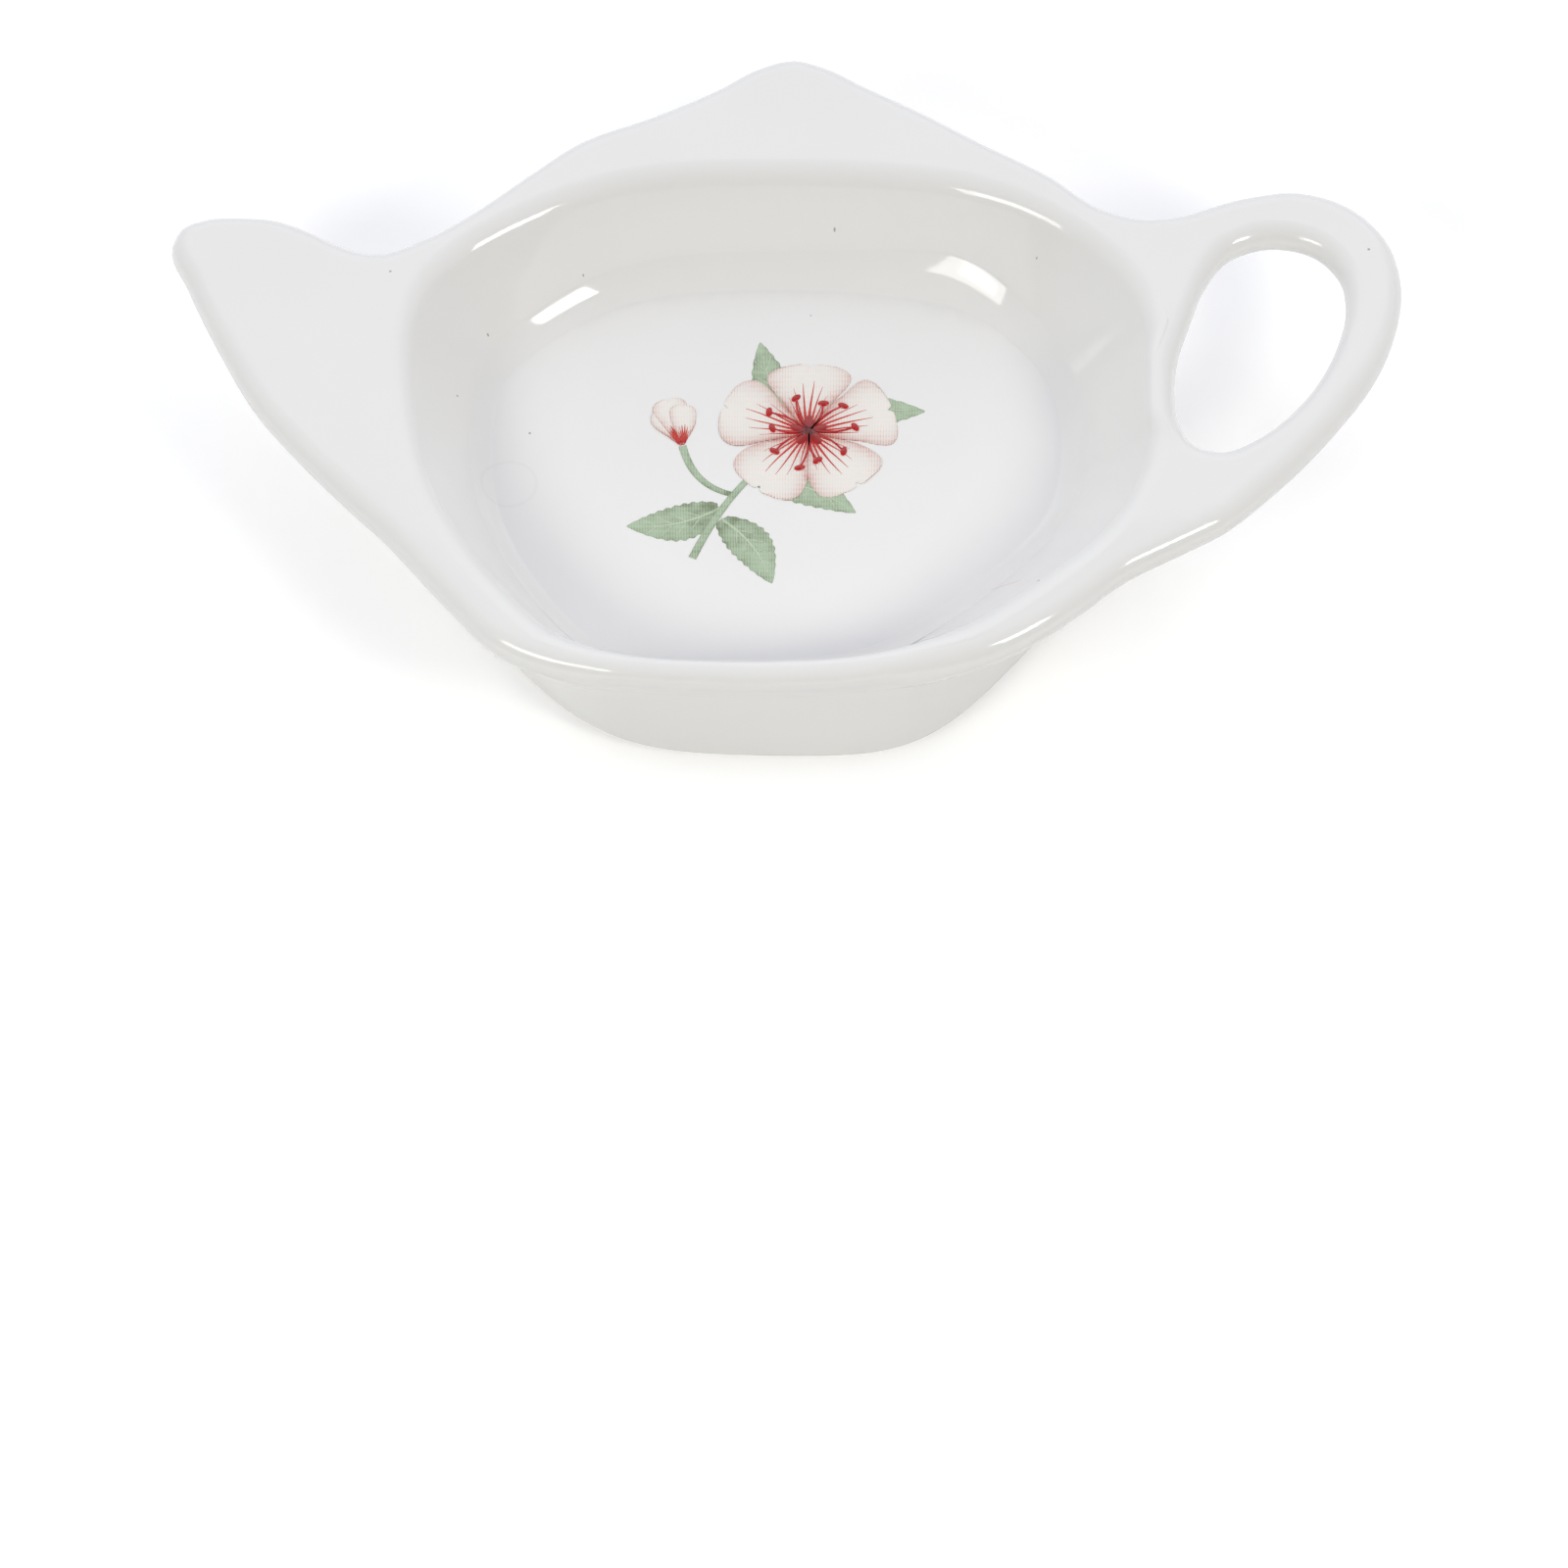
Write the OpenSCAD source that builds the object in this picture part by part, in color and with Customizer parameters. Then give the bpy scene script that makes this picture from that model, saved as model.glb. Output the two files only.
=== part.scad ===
// Tea bag rest: a shallow porcelain dish in the outline of a teapot.
// The casting is drawn as five closed pieces that meet face to face: the basin, the rim round it,
// and the spout, lid peak and handle of the flange. It stands on an unglazed foot ring, and a small
// printed blossom lies in thin ink layers on the floor of the basin.
// X points to the handle, Y to the lid peak and Z up. The origin is under the middle of the outline.

/* [Height] */
// Height of the rest from foot to rim
body_h = 16; // [15:0.5:20]
// Thickness of the flange that makes spout, lid and handle
flange_t = 4; // [3:0.1:5.5]
// Thickness of the basin wall
wall_t = 2.6; // [2:0.1:3.4]
// Thickness of the basin floor
floor_t = 4; // [2:0.1:4.6]
// Height of the foot ring
foot_h = 1.2; // [0.6:0.1:2.5]

/* [Basin outline] */
// Reach of the basin wall from its middle, towards the handle
basin_right = 33.9; // [30:0.1:38]
// Reach of the wall towards the lid, on the handle's side
basin_back_right = 34.1; // [31:0.1:38]
// Reach of the wall towards the lid
basin_back = 27.6; // [25:0.1:31]
// Reach of the wall towards the lid, on the spout's side
basin_back_left = 32.2; // [29.5:0.1:36]
// Reach of the wall towards the spout
basin_left = 34.1; // [30:0.1:38]
// Reach of the wall at the left front corner
basin_front_left = 32.4; // [30:0.1:36]
// Reach of the wall at the front
basin_front = 28.8; // [26:0.1:31]
// Reach of the wall at the right front corner
basin_front_right = 29.1; // [27:0.1:33]
// Sharpness of the corners between the sides
corner_sharpness = 11; // [8:1:14]

/* [Basin section] */
// Radius from the flange's top down into the basin
rim_round = 2.8; // [1.5:0.1:3.2]
// How far the inner wall opens out at its top, where it does so most
rim_flare = 2; // [0:0.1:2.4]
// Radius between wall and floor
floor_round = 5; // [1.5:0.1:5.4]
// Angle at which that rounding meets the floor
floor_crease = 15; // [0:1:25]
// How far the inner wall leans in on its way down
inner_lean = 2.3; // [0:0.1:3]
// How far the outer wall leans in on its way down
outer_lean = 0.7; // [0.2:0.1:1.4]
// How far the outer wall swells out under the rim at the front
front_swell = 1; // [0:0.1:1.1]
// Radius between the outer wall and the flange's underside
under_round = 2.4; // [1:0.1:3.2]
// Radius at the bottom edge of the outer wall
base_round = 0.8; // [0.4:0.1:1.2]

/* [Flange] */
// Widest reach of the flange past the basin wall, at the notches beside spout and handle
flange_w = 9.6; // [8.6:0.1:11.5]
// Reach of the lid peak past the basin wall
lid_reach = 16.3; // [12.5:0.1:20]
// Distance of the lid's root from the basin wall
lid_root = 5.5; // [5:0.1:6.5]
// Half width of the lid at its root
lid_half_w = 20.3; // [18:0.1:22]
// Length of the spout from its root to its tip
spout_l = 20.2; // [16:0.1:26]
// Distance of the spout's root from the basin wall
spout_root = 6.3; // [5.5:0.1:7.5]
// Height of the spout's upper root over the middle of the basin
spout_up = 19.1; // [17.5:0.1:20.5]
// Rise of the spout's top edge over its upper root
spout_rise = 4.65; // [2:0.05:8]
// Width of the spout at its root
spout_root_w = 31.9; // [29:0.1:34]

/* [Handle] */
// Distance of the handle's root from the basin wall
handle_root = 5.1; // [4.6:0.1:6]
// Length of the handle from its root
handle_l = 22.7; // [20:0.1:27]
// Distance from the middle of the basin down to the handle's lower root
handle_down = 16.3; // [15:0.1:17.5]
// Height of the handle from its lower root to its top
handle_h = 43.2; // [41:0.1:46]
// Distance of the finger hole from the basin wall
hole_gap = 4.8; // [4.4:0.1:5.6]
// Length of the finger hole
hole_l = 17.35; // [15:0.05:19]
// Height of the finger hole
hole_h = 25.7; // [23:0.1:27]
// Distance from the middle of the basin down to the hole's lowest point
hole_down = 5; // [4:0.1:6]

/* [Foot ring] */
// How far the foot ring stands in from the base of the outer wall
foot_in = 1.4; // [1:0.1:2.4]
// Width of the foot ring
foot_w = 2.6; // [1.5:0.1:4]

/* [Print] */
// Thickness of one ink layer
ink_t = 0.06; // [0.04:0.01:0.12]
// Distance of the print's middle from the middle of the basin, towards the handle
print_x = -0.5; // [-4:0.1:4]
// Distance of the print's middle from the middle of the basin, towards the lid
print_y = 0.8; // [0:0.1:3]
// Distance of the blossom's middle from the print's middle, each way
blossom_off = 3.4; // [2:0.1:5]
// Number of petals
petals = 5; // [4:1:7]
// Length of the blossom's petals
petal_l = 8.8; // [7:0.1:11]
// Width of a petal
petal_w = 8.2; // [6:0.1:9.5]
// Length of the bud
bud_l = 6; // [4:0.1:8]
// Width of the bud
bud_w = 4.8; // [3:0.1:6]
// Length of the leaves
leaf_l = 10.8; // [8:0.1:13]
// Width of a leaf
leaf_w = 4.2; // [3:0.1:6]
// Width of the stem
stem_w = 0.8; // [0.5:0.05:1.2]
// Width of the leaves' veins
vein_w = 0.35; // [0.2:0.05:0.6]
// Length of the stamens
stamen_l = 4.6; // [3:0.1:5.2]
// Width of a stamen
stamen_w = 0.32; // [0.2:0.02:0.5]
// Radius of the tip of a stamen
anther_r = 0.5; // [0.35:0.05:0.6]
// Radius of the blossom's throat
throat_r = 1.9; // [1:0.1:2.4]

/* [Hidden] */
// Directions in which the basin's eight sides face, in degrees from the handle
side_dirs = [355, 40, 90, 127, 180, 216, 269, 311];
side_reach = [basin_right, basin_back_right, basin_back, basin_back_left, basin_left,
    basin_front_left, basin_front, basin_front_right];
// The same sides at the top of the wall: where they face, and shares of the flare in their reach
top_dirs = [357, 51, 89, 124, 184, 220, 270, 309];
flare_shares = [0.9, 0.05, -0.03, 0.14, 0.62, 0.64, 0.55, 0.89];
top_reach = side_reach + rim_flare * flare_shares;
// And at the base of the outer wall, with shares of the wall's thickness there
base_dirs = [355, 40, 90, 127, 180, 221.5, 268.7, 319.7];
base_shares = [1, 1, 1, 1, 1, 0.72, 1.65, 1.22];
base_reach = side_reach + (wall_t - outer_lean) * base_shares;
// Heights of the flange's underside and of the basin's floor
seat_z = body_h - flange_t;
floor_z = foot_h + floor_t;
// Points between two knots of an outline, and steps in a quarter of a rounding
knot_steps = 4;
quarter_steps = 4;
cut_steps = 8;
// Depth at which a seam leaves the rounded edge, as a share of the flange's thickness
cut_share = 0.55;
// Most of the flange's reach that the rounding of its top edge takes, as a share
edge_share = 0.38;
// Least radius left where a rounding fades out
least_round = 0.1;
// Direction of the front's swell, the angle over which it fades, and how sharply
front_dir = -91;
front_spread = 30;
front_fade = 8;
// Angles between the points that give the wall's direction, and between points of the foot ring
normal_step = 1;
ring_step = 3;
// Faces round the blossom's throat, and round the tip of a stamen
throat_faces = 40;
anther_faces = 16;

// Sum of a list, and a point turned a quarter to the left
function total(list, i = 0) = i < len(list) - 1 ? list[i] + total(list, i + 1) : list[i];
function left_of(v) = [-v.y, v.x];
function unit(v) = v / norm(v);
function polar(dir, r) = r * [cos(dir), sin(dir)];

// The line of the basin wall: eight straight sides with rounded corners, in closed form
function wall_r(dir, dirs = side_dirs, reach = side_reach) = basin_back
    * pow(total([for (i = [0:len(dirs) - 1])
    pow(max(0, cos(dir - dirs[i])) * basin_back / reach[i], corner_sharpness)]),
    -1 / corner_sharpness);
function wall_point(dir) = polar(dir, wall_r(dir));
function wall_normal(dir) = -left_of(unit(wall_point(dir + normal_step)
    - wall_point(dir - normal_step)));
function direction(p) = atan2(p.y, p.x);
// How far the inner wall stands out over the wall line at its top, and the outer wall at its own
// and at its base
function flare(dir) = wall_r(dir, top_dirs, top_reach) - wall_r(dir);
function outer_top(dir) = wall_t
    + front_swell * exp(-pow((dir - front_dir) / front_spread, front_fade));
function outer_base(dir) = wall_r(dir, base_dirs, base_reach) - wall_r(dir);
// Distance of a point of the outline from the basin wall, square to the wall
function reach_at(p) = (p - wall_point(direction(p))) * wall_normal(direction(p));

// A smooth closed curve through knots, with tangents weighed by the distances between them
function tangent(k, i) = let (n = len(k), a = k[(i + n - 1) % n], b = k[i], c = k[(i + 1) % n],
    s = norm(b - a), t = norm(c - b)) ((b - a) * t / s + (c - b) * s / t) / (s + t);
function curve_point(k, i, u) = let (n = len(k), a = k[i], b = k[(i + 1) % n], s = norm(b - a))
    a * (1 + 2 * u) * pow(1 - u, 2) + b * (3 - 2 * u) * pow(u, 2)
    + s * tangent(k, i) * u * pow(1 - u, 2) - s * tangent(k, (i + 1) % n) * (1 - u) * pow(u, 2);
function curve(k) = [for (i = [0:len(k) - 1]) for (j = [0:knot_steps - 1])
    curve_point(k, i, j / knot_steps)];
function slope(c, i) = let (n = len(c)) unit(c[(i + 1) % n] - c[(i + n - 1) % n]);

// Free edges of the rim: directions in degrees, and widths as shares between wall and notch
back_right_shares = [[32.8, 0.95], [37.5, 0.59], [46.5, 0.51]];
back_left_shares = [[131.3, 0.6], [142.5, 0.5], [149.6, 0.64]];
front_shares = [[201, 0.87], [205.7, 0.76], [217, 0.63], [226, 0.57], [234.4, 0.37], [246.6, 0.19],
    [257.5, 0.17], [269, 0.17], [287.5, 0.21], [302.5, 0.5], [311.5, 0.65], [319.2, 0.72],
    [329.8, 0.82]];
function rim_knots(shares) = [for (s = shares)
    polar(s[0], wall_r(s[0]) + wall_t + s[1] * (flange_w - wall_t))];

// Lid: shares of its half width, and of its rise over the root
lid_shares = [[0.73, 0.34], [0.42, 0.69], [0.24, 0.9], [0.07, 1], [-0.12, 0.89], [-0.31, 0.65],
    [-0.63, 0.32]];
lid_root_y = basin_back + lid_root;
lid_rise = lid_reach - lid_root;
lid_right_root = [lid_half_w, lid_root_y];
lid_left_root = [-lid_half_w, lid_root_y];
lid_knots = [for (s = lid_shares) [s[0] * lid_half_w, lid_root_y + s[1] * lid_rise]];

// Spout: shares of its length, and of its rise (top edge) or root width (lower edge)
spout_top_shares = [[0.15, 0.2], [0.31, 0.59], [0.48, 0.91], [0.67, 1], [0.84, 0.95],
    [0.965, 0.67], [1, 0.26]];
spout_low_shares = [[0.91, 0.12], [0.74, 0.36], [0.545, 0.59], [0.3, 0.79]];
spout_root_x = -basin_left - spout_root;
spout_top_root = [spout_root_x, spout_up];
spout_low_root = [spout_root_x, spout_up - spout_root_w];
spout_knots = concat(
    [for (s = spout_top_shares) spout_top_root + [-s[0] * spout_l, s[1] * spout_rise]],
    [for (s = spout_low_shares) spout_top_root - [s[0] * spout_l, s[1] * spout_root_w]]);

// Handle: shares of its length and height, from the lower root to the upper one
handle_shares = [[0.185, 0.058], [0.36, 0.141], [0.537, 0.238], [0.7, 0.345], [0.85, 0.461],
    [0.956, 0.593], [1, 0.731], [0.947, 0.863], [0.789, 0.958], [0.568, 1], [0.308, 0.981]];
handle_top_share = 0.926;
handle_root_x = basin_right + handle_root;
handle_low_root = [handle_root_x, -handle_down];
handle_top_root = [handle_root_x, handle_top_share * handle_h - handle_down];
handle_knots = [for (s = handle_shares) handle_low_root + [s[0] * handle_l, s[1] * handle_h]];

// Finger hole: shares of its length and height, from its lower seam round by the far side
hole_far_shares = [[0.25, 0], [0.44, 0.058], [0.65, 0.182], [0.824, 0.342], [0.94, 0.513],
    [0.997, 0.677], [0.975, 0.833], [0.836, 0.957], [0.605, 1], [0.357, 0.94], [0.2, 0.79]];
hole_near_shares = [[0.035, 0.463], [0, 0.28], [0.025, 0.12]];
hole_low_seam_share = [0.1, 0.028];
hole_top_seam_share = [0.11, 0.622];
hole_corner = [basin_right + hole_gap, -hole_down];
function hole_point(s) = hole_corner + [s[0] * hole_l, s[1] * hole_h];
hole_knots = concat([hole_point(hole_low_seam_share)], [for (s = hole_far_shares) hole_point(s)],
    [hole_point(hole_top_seam_share)], [for (s = hole_near_shares) hole_point(s)]);

// The whole outline, against the clock from the handle's upper root
outline_knots = concat([handle_top_root], rim_knots(back_right_shares), [lid_right_root], lid_knots,
    [lid_left_root], rim_knots(back_left_shares), [spout_top_root], spout_knots, [spout_low_root],
    rim_knots(front_shares), [handle_low_root], handle_knots);
outline = curve(outline_knots);
hole = curve(hole_knots);
at_lid_right = knot_steps * (1 + len(back_right_shares));
at_lid_left = at_lid_right + knot_steps * (1 + len(lid_shares));
at_spout_top = at_lid_left + knot_steps * (1 + len(back_left_shares));
at_spout_low = at_spout_top + knot_steps * (1 + len(spout_knots));
at_handle_low = at_spout_low + knot_steps * (1 + len(front_shares));
at_hole_top = knot_steps * (1 + len(hole_far_shares));

// The origin lies under the middle of the outline
xs = [for (p = outline) p.x];
ys = [for (p = outline) p.y];
middle = [max(xs) + min(xs), max(ys) + min(ys)] / 2;

// A sample of an edge is its place, and how far its top and bottom draw in over the rounding
function draw_in(p, n) = let (w = reach_at(p)) [p, n * min(flange_t / 2, w * edge_share),
    n * min(flange_t, max(0, w - outer_top(direction(p)))) / 2];
function edge(i) = draw_in(outline[i % len(outline)], left_of(slope(outline, i % len(outline))));
function hole_edge(i) = draw_in(hole[i % len(hole)], -left_of(slope(hole, i % len(hole))));
// A seam runs square off one edge, straight across and square onto the other
function seam_end(e) = e[0] + unit(e[1]) * flange_t * cut_share;
function seam(a, b, steps) = [for (j = [0:steps])
    [seam_end(a) + (seam_end(b) - seam_end(a)) * j / steps, [0, 0], [0, 0]]];
function backwards(list) = [for (i = [len(list) - 1:-1:0]) list[i]];

lid_seam = seam(edge(at_lid_right), edge(at_lid_left), 2 * cut_steps);
spout_seam = seam(edge(at_spout_top), edge(at_spout_low), cut_steps);
handle_low_seam = seam(edge(at_handle_low), hole_edge(0), cut_steps / 2);
handle_top_seam = seam(hole_edge(at_hole_top), edge(0), cut_steps / 2);

// Outer boundary of the rim, against the clock from the handle's upper root
rim_samples = concat(
    [for (i = [0:at_lid_right]) edge(i)], lid_seam,
    [for (i = [at_lid_left:at_spout_top]) edge(i)], spout_seam,
    [for (i = [at_spout_low:at_handle_low]) edge(i)], handle_low_seam,
    [for (i = [len(hole):-1:at_hole_top]) hole_edge(i)], handle_top_seam);
rim_dirs = [for (s = rim_samples) direction(s[0])];
// Free width under the flange, for the rounding beneath it
function under(s) = norm(s[1]) == 0 ? under_round
    : max(least_round, min(under_round, (reach_at(s[0]) - outer_top(direction(s[0]))) / 2));

// Steps of a quarter turn, and points along a rounded edge: sample, then angle from level
quarter = [for (j = [0:quarter_steps]) 90 * j / quarter_steps];
edge_angles = concat([for (a = backwards(quarter)) a], [for (j = [1:quarter_steps]) -quarter[j]]);
function edge_point(s, a) = let (p = s[0] + (a > 0 ? s[1] : s[2]) * (1 - cos(a)))
    [p.x, p.y, seat_z + flange_t * (1 + sin(a)) / 2];
function lifted(p, z) = [p.x, p.y, z];

// Two triangles for each square between rings of equal length
function skin(rings, n, closed = false) = let (last = rings - 1) [for (r = [0:last])
    if (closed || r < last) for (i = [0:n - 1])
    let (a = r * n + i, b = r * n + (i + 1) % n, up = ((r + 1) % rings) * n)
    each [[a, up + (i + 1) % n, b], [a, up + i, up + (i + 1) % n]]];
function fan(first, n, hub, up) = [for (i = [0:n - 1])
    up ? [hub, first + (i + 1) % n, first + i] : [hub, first + i, first + (i + 1) % n]];
// Two fans that close the first and last ring round hubs placed after all the rings
function caps(rings, n) = concat(fan(0, n, rings * n, false),
    fan((rings - 1) * n, n, rings * n + 1, true));
function mean(points) = total(points) / len(points);

module placed() {
    translate([-middle.x, -middle.y, 0]) children();
}

// Rounding from the flange's top into the basin, and from the wall into the floor: offset from the
// wall line, and height, at an angle from upright
function rim_r(s, dir) = min(rim_round, reach_at(s[0]) - norm(s[1]) - flare(dir));
function rim_bend(s, dir, a) = let (r = rim_r(s, dir))
    [flare(dir) + r * (1 - cos(a)), body_h - r * (1 - sin(a))];
function floor_bend(a) = [-inner_lean - floor_round * (1 - cos(a)),
    floor_z + floor_round * (cos(floor_crease) - sin(a))];
// The inner wall is straight between them and touches both: its lean, and its offset at the seat
function wall_turn(s, dir) = let (across = rim_r(s, dir) + flare(dir) + inner_lean + floor_round,
    rise = body_h - rim_r(s, dir) - floor_z - floor_round * cos(floor_crease))
    90 - atan2(rise, across) - asin((rim_r(s, dir) + floor_round) / norm([across, rise]));
function seat_in(s, dir) = let (a = wall_turn(s, dir), high = rim_bend(s, dir, a), low = floor_bend(a))
    low[0] + (high[0] - low[0]) * (seat_z - low[1]) / (high[1] - low[1]);
// Section of the basin at one station: offset from the wall line, and height
function basin_section(s, dir) = let (u = under(s), base = outer_base(dir),
    lean = wall_turn(s, dir)) concat(
    [for (a = quarter) [base - base_round * (1 - sin(a)), foot_h + base_round * (1 - cos(a))]],
    [for (a = quarter) [outer_top(dir) + u * (1 - cos(a)), seat_z - u * (1 - sin(a))]],
    [[seat_in(s, dir), seat_z]],
    [for (t = quarter) floor_bend(lean + (90 - floor_crease - lean) * t / 90)]);

module basin() {
    n = len(rim_samples);
    sections = [for (i = [0:n - 1]) basin_section(rim_samples[i], rim_dirs[i])];
    rings = len(sections[0]);
    walls = [for (i = [0:n - 1]) wall_point(rim_dirs[i])];
    normals = [for (i = [0:n - 1]) wall_normal(rim_dirs[i])];
    points = [for (r = [0:rings - 1]) for (i = [0:n - 1])
        lifted(walls[i] + normals[i] * sections[i][r][0], sections[i][r][1])];
    color("white") placed() polyhedron(
        concat(points, [lifted([0, 0], foot_h), lifted([0, 0], floor_z)]),
        concat(skin(rings, n), caps(rings, n)), convexity = 6);
}

// Section of the rim at one station, round from the seat up the wall and down the outer edge
function rim_section(s, dir) = let (w = wall_point(dir), out = wall_normal(dir),
    lean = wall_turn(s, dir)) concat(
    [lifted(w + out * seat_in(s, dir), seat_z)],
    [for (t = quarter) let (p = rim_bend(s, dir, lean + (90 - lean) * t / 90))
    lifted(w + out * p[0], p[1])],
    [for (a = edge_angles) edge_point(s, a)]);

module rim() {
    sections = [for (i = [0:len(rim_samples) - 1]) rim_section(rim_samples[i], rim_dirs[i])];
    color("white") placed() polyhedron([for (c = sections) each c],
        skin(len(sections), len(sections[0]), closed = true), convexity = 8);
}

// A lobe of the flange inside a closed row of samples, with its flat faces fanned from a hub
module lobe(samples) {
    n = len(samples);
    rings = len(edge_angles);
    hub = mean([for (s = samples) s[0]]);
    color("white") placed() polyhedron(
        concat([for (a = backwards(edge_angles)) for (s = samples) edge_point(s, a)],
            [lifted(hub, seat_z), lifted(hub, body_h)]),
        concat(skin(rings, n), caps(rings, n)), convexity = 6);
}

module spout() {
    lobe(concat([for (i = [at_spout_top:at_spout_low]) edge(i)], backwards(spout_seam)));
}

module lid_peak() {
    lobe(concat([for (i = [at_lid_right:at_lid_left]) edge(i)], backwards(lid_seam)));
}

// The handle is a band between the outline and the finger hole, closed by the ends of its seams
module handle() {
    outer = [for (i = [at_handle_low:len(outline)]) edge(i)];
    inner = [for (i = [0:at_hole_top]) hole_edge(i)];
    low = [handle_low_seam[0], handle_low_seam[len(handle_low_seam) - 1]];
    top = [handle_top_seam[0], handle_top_seam[len(handle_top_seam) - 1]];
    samples = concat(outer, backwards(top), backwards(inner), backwards(low));
    n = len(samples);
    m = len(outer);
    rings = len(edge_angles);
    roof = (rings - 1) * n;
    strip = concat(
        [for (i = [0:m - 2]) each [[i, i + 1, n - 3 - i], [i + 1, n - 4 - i, n - 3 - i]]],
        [[m - 1, m, m + 1], [m - 1, m + 1, m + 2], [0, n - 3, n - 2], [0, n - 2, n - 1]]);
    color("white") placed() polyhedron(
        [for (a = backwards(edge_angles)) for (s = samples) edge_point(s, a)],
        concat(skin(rings, n), strip, [for (t = strip) [t[2] + roof, t[1] + roof, t[0] + roof]]),
        convexity = 8);
}

// A plain outline some way in from the base of the outer wall
function foot_line(inset) = [for (dir = [0:ring_step:360 - ring_step])
    polar(dir, wall_r(dir, base_dirs, base_reach) - inset)];

module foot_ring() {
    color("antiquewhite") placed() linear_extrude(foot_h) difference() {
        polygon(foot_line(foot_in));
        polygon(foot_line(foot_in + foot_w));
    }
}

// Print: a blossom on a stem with a bud and leaves, drawn about the print's middle
blossom_at = [blossom_off, blossom_off];
blossom_turn = 18;
// How far a petal's blush reaches, and how far its stamens stand off its middle, in degrees
blush_share = 0.74;
stamen_spread = 15;
// Petal and leaf outlines as shares of length and width, and the stem's places as shares of leaf_l
petal_shares = [[0, 0], [0.18, 0.2], [0.45, 0.42], [0.75, 0.5], [0.95, 0.33], [1, 0.14], [0.95, 0],
    [1, -0.14], [0.95, -0.33], [0.75, -0.5], [0.45, -0.42], [0.18, -0.2]];
leaf_shares = [[0, 0], [0.15, 0.28], [0.42, 0.52], [0.72, 0.36], [1, -0.1], [0.8, -0.26],
    [0.48, -0.42], [0.18, -0.3]];
stem_shares = [[0.1, 0.1], [-0.4, -0.25], [-0.75, -1.1]];
stalk_shares = [[-0.36, -0.4], [-0.75, -0.32], [-0.85, 0.15]];
vein_shares = [[0.1, 0], [0.5, 0.03], [0.9, -0.03]];
// Leaves: place on the stem as a share, direction in degrees, and length as a share
leaf_shoot_shares = [[0.35, 338, 1.05], [0.62, 194, 0.92], [0.7, 304, 0.9], [0, 114, 1.12],
    [0, 12, 1.1]];
bud_dir = 105;

function shaped(shares, l, w) = curve([for (s = shares) [s[0] * l, s[1] * w]]);
function bend(k, t) = k[0] * pow(1 - t, 2) + k[1] * 2 * t * (1 - t) + k[2] * pow(t, 2);
function bend_side(k, t) = left_of(unit((k[1] - k[0]) * (1 - t) + (k[2] - k[1]) * t));
function stem_line(shares) = [for (s = shares) s * leaf_l];

// A line of one width along a bend of three points
module drawn(k, w) {
    steps = [for (j = [0:cut_steps]) j / cut_steps];
    polygon(concat([for (t = steps) bend(k, t) + bend_side(k, t) * w / 2],
        [for (t = backwards(steps)) bend(k, t) - bend_side(k, t) * w / 2]));
}

module petal(share = 1) {
    polygon(shaped(petal_shares, petal_l * share, petal_w * share));
}

module round_petals() {
    translate(blossom_at) for (i = [0:petals - 1]) rotate(blossom_turn + i * 360 / petals) children();
}

module bud(share = 1) {
    translate(bend(stem_line(stalk_shares), 1)) rotate(bud_dir)
        polygon(shaped(petal_shares, bud_l * share, bud_w * share));
}

// Each leaf starts on the stem and points its own way
module each_leaf() {
    for (p = leaf_shoot_shares) translate(p[0] == 0 ? blossom_at : bend(stem_line(stem_shares), p[0]))
        rotate(p[1]) scale(p[2]) children();
}

// One ink layer on the floor, counted from the lowest
module ink(layer) {
    placed() translate([print_x, print_y, floor_z + layer * ink_t]) linear_extrude(ink_t) children();
}

module blossom_area() {
    round_petals() petal();
    bud();
}

module print_leaves() {
    color("darkseagreen") ink(0) difference() {
        union() {
            drawn(stem_line(stem_shares), stem_w);
            drawn(stem_line(stalk_shares), stem_w);
            each_leaf() polygon(shaped(leaf_shares, leaf_l, leaf_w));
        }
        blossom_area();
    }
}

module print_leaf_veins() {
    color("olivedrab") ink(1) difference() {
        each_leaf() drawn(stem_line(vein_shares), vein_w);
        blossom_area();
    }
}

module print_petals() {
    color("mistyrose") ink(0) blossom_area();
}

module print_blush() {
    color("lightcoral") ink(1) {
        round_petals() petal(blush_share);
        bud(blush_share);
    }
}

module print_throat() {
    color("maroon") ink(2) translate(blossom_at) circle(throat_r, $fn = throat_faces);
}

module print_stamens() {
    color("firebrick") ink(2) difference() {
        round_petals() for (a = [-stamen_spread, stamen_spread]) rotate(a) {
            translate([0, -stamen_w / 2]) square([stamen_l, stamen_w]);
            translate([stamen_l, 0]) circle(anther_r, $fn = anther_faces);
        }
        translate(blossom_at) circle(throat_r, $fn = throat_faces);
    }
}

basin();
rim();
spout();
lid_peak();
handle();
foot_ring();
print_leaves();
print_leaf_veins();
print_petals();
print_blush();
print_throat();
print_stamens();
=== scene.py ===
"""Looks of the tea bag rest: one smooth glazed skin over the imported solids, a bare foot ring, and
a small printed blossom with its leaves on the floor of the basin. Lengths in the tables are
millimetres in the frame of the basin's opening; put() turns them into metres of the row frame."""

import math

import bmesh
import bpy
import numpy as np
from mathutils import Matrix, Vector
from mathutils.geometry import delaunay_2d_cdt


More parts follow.
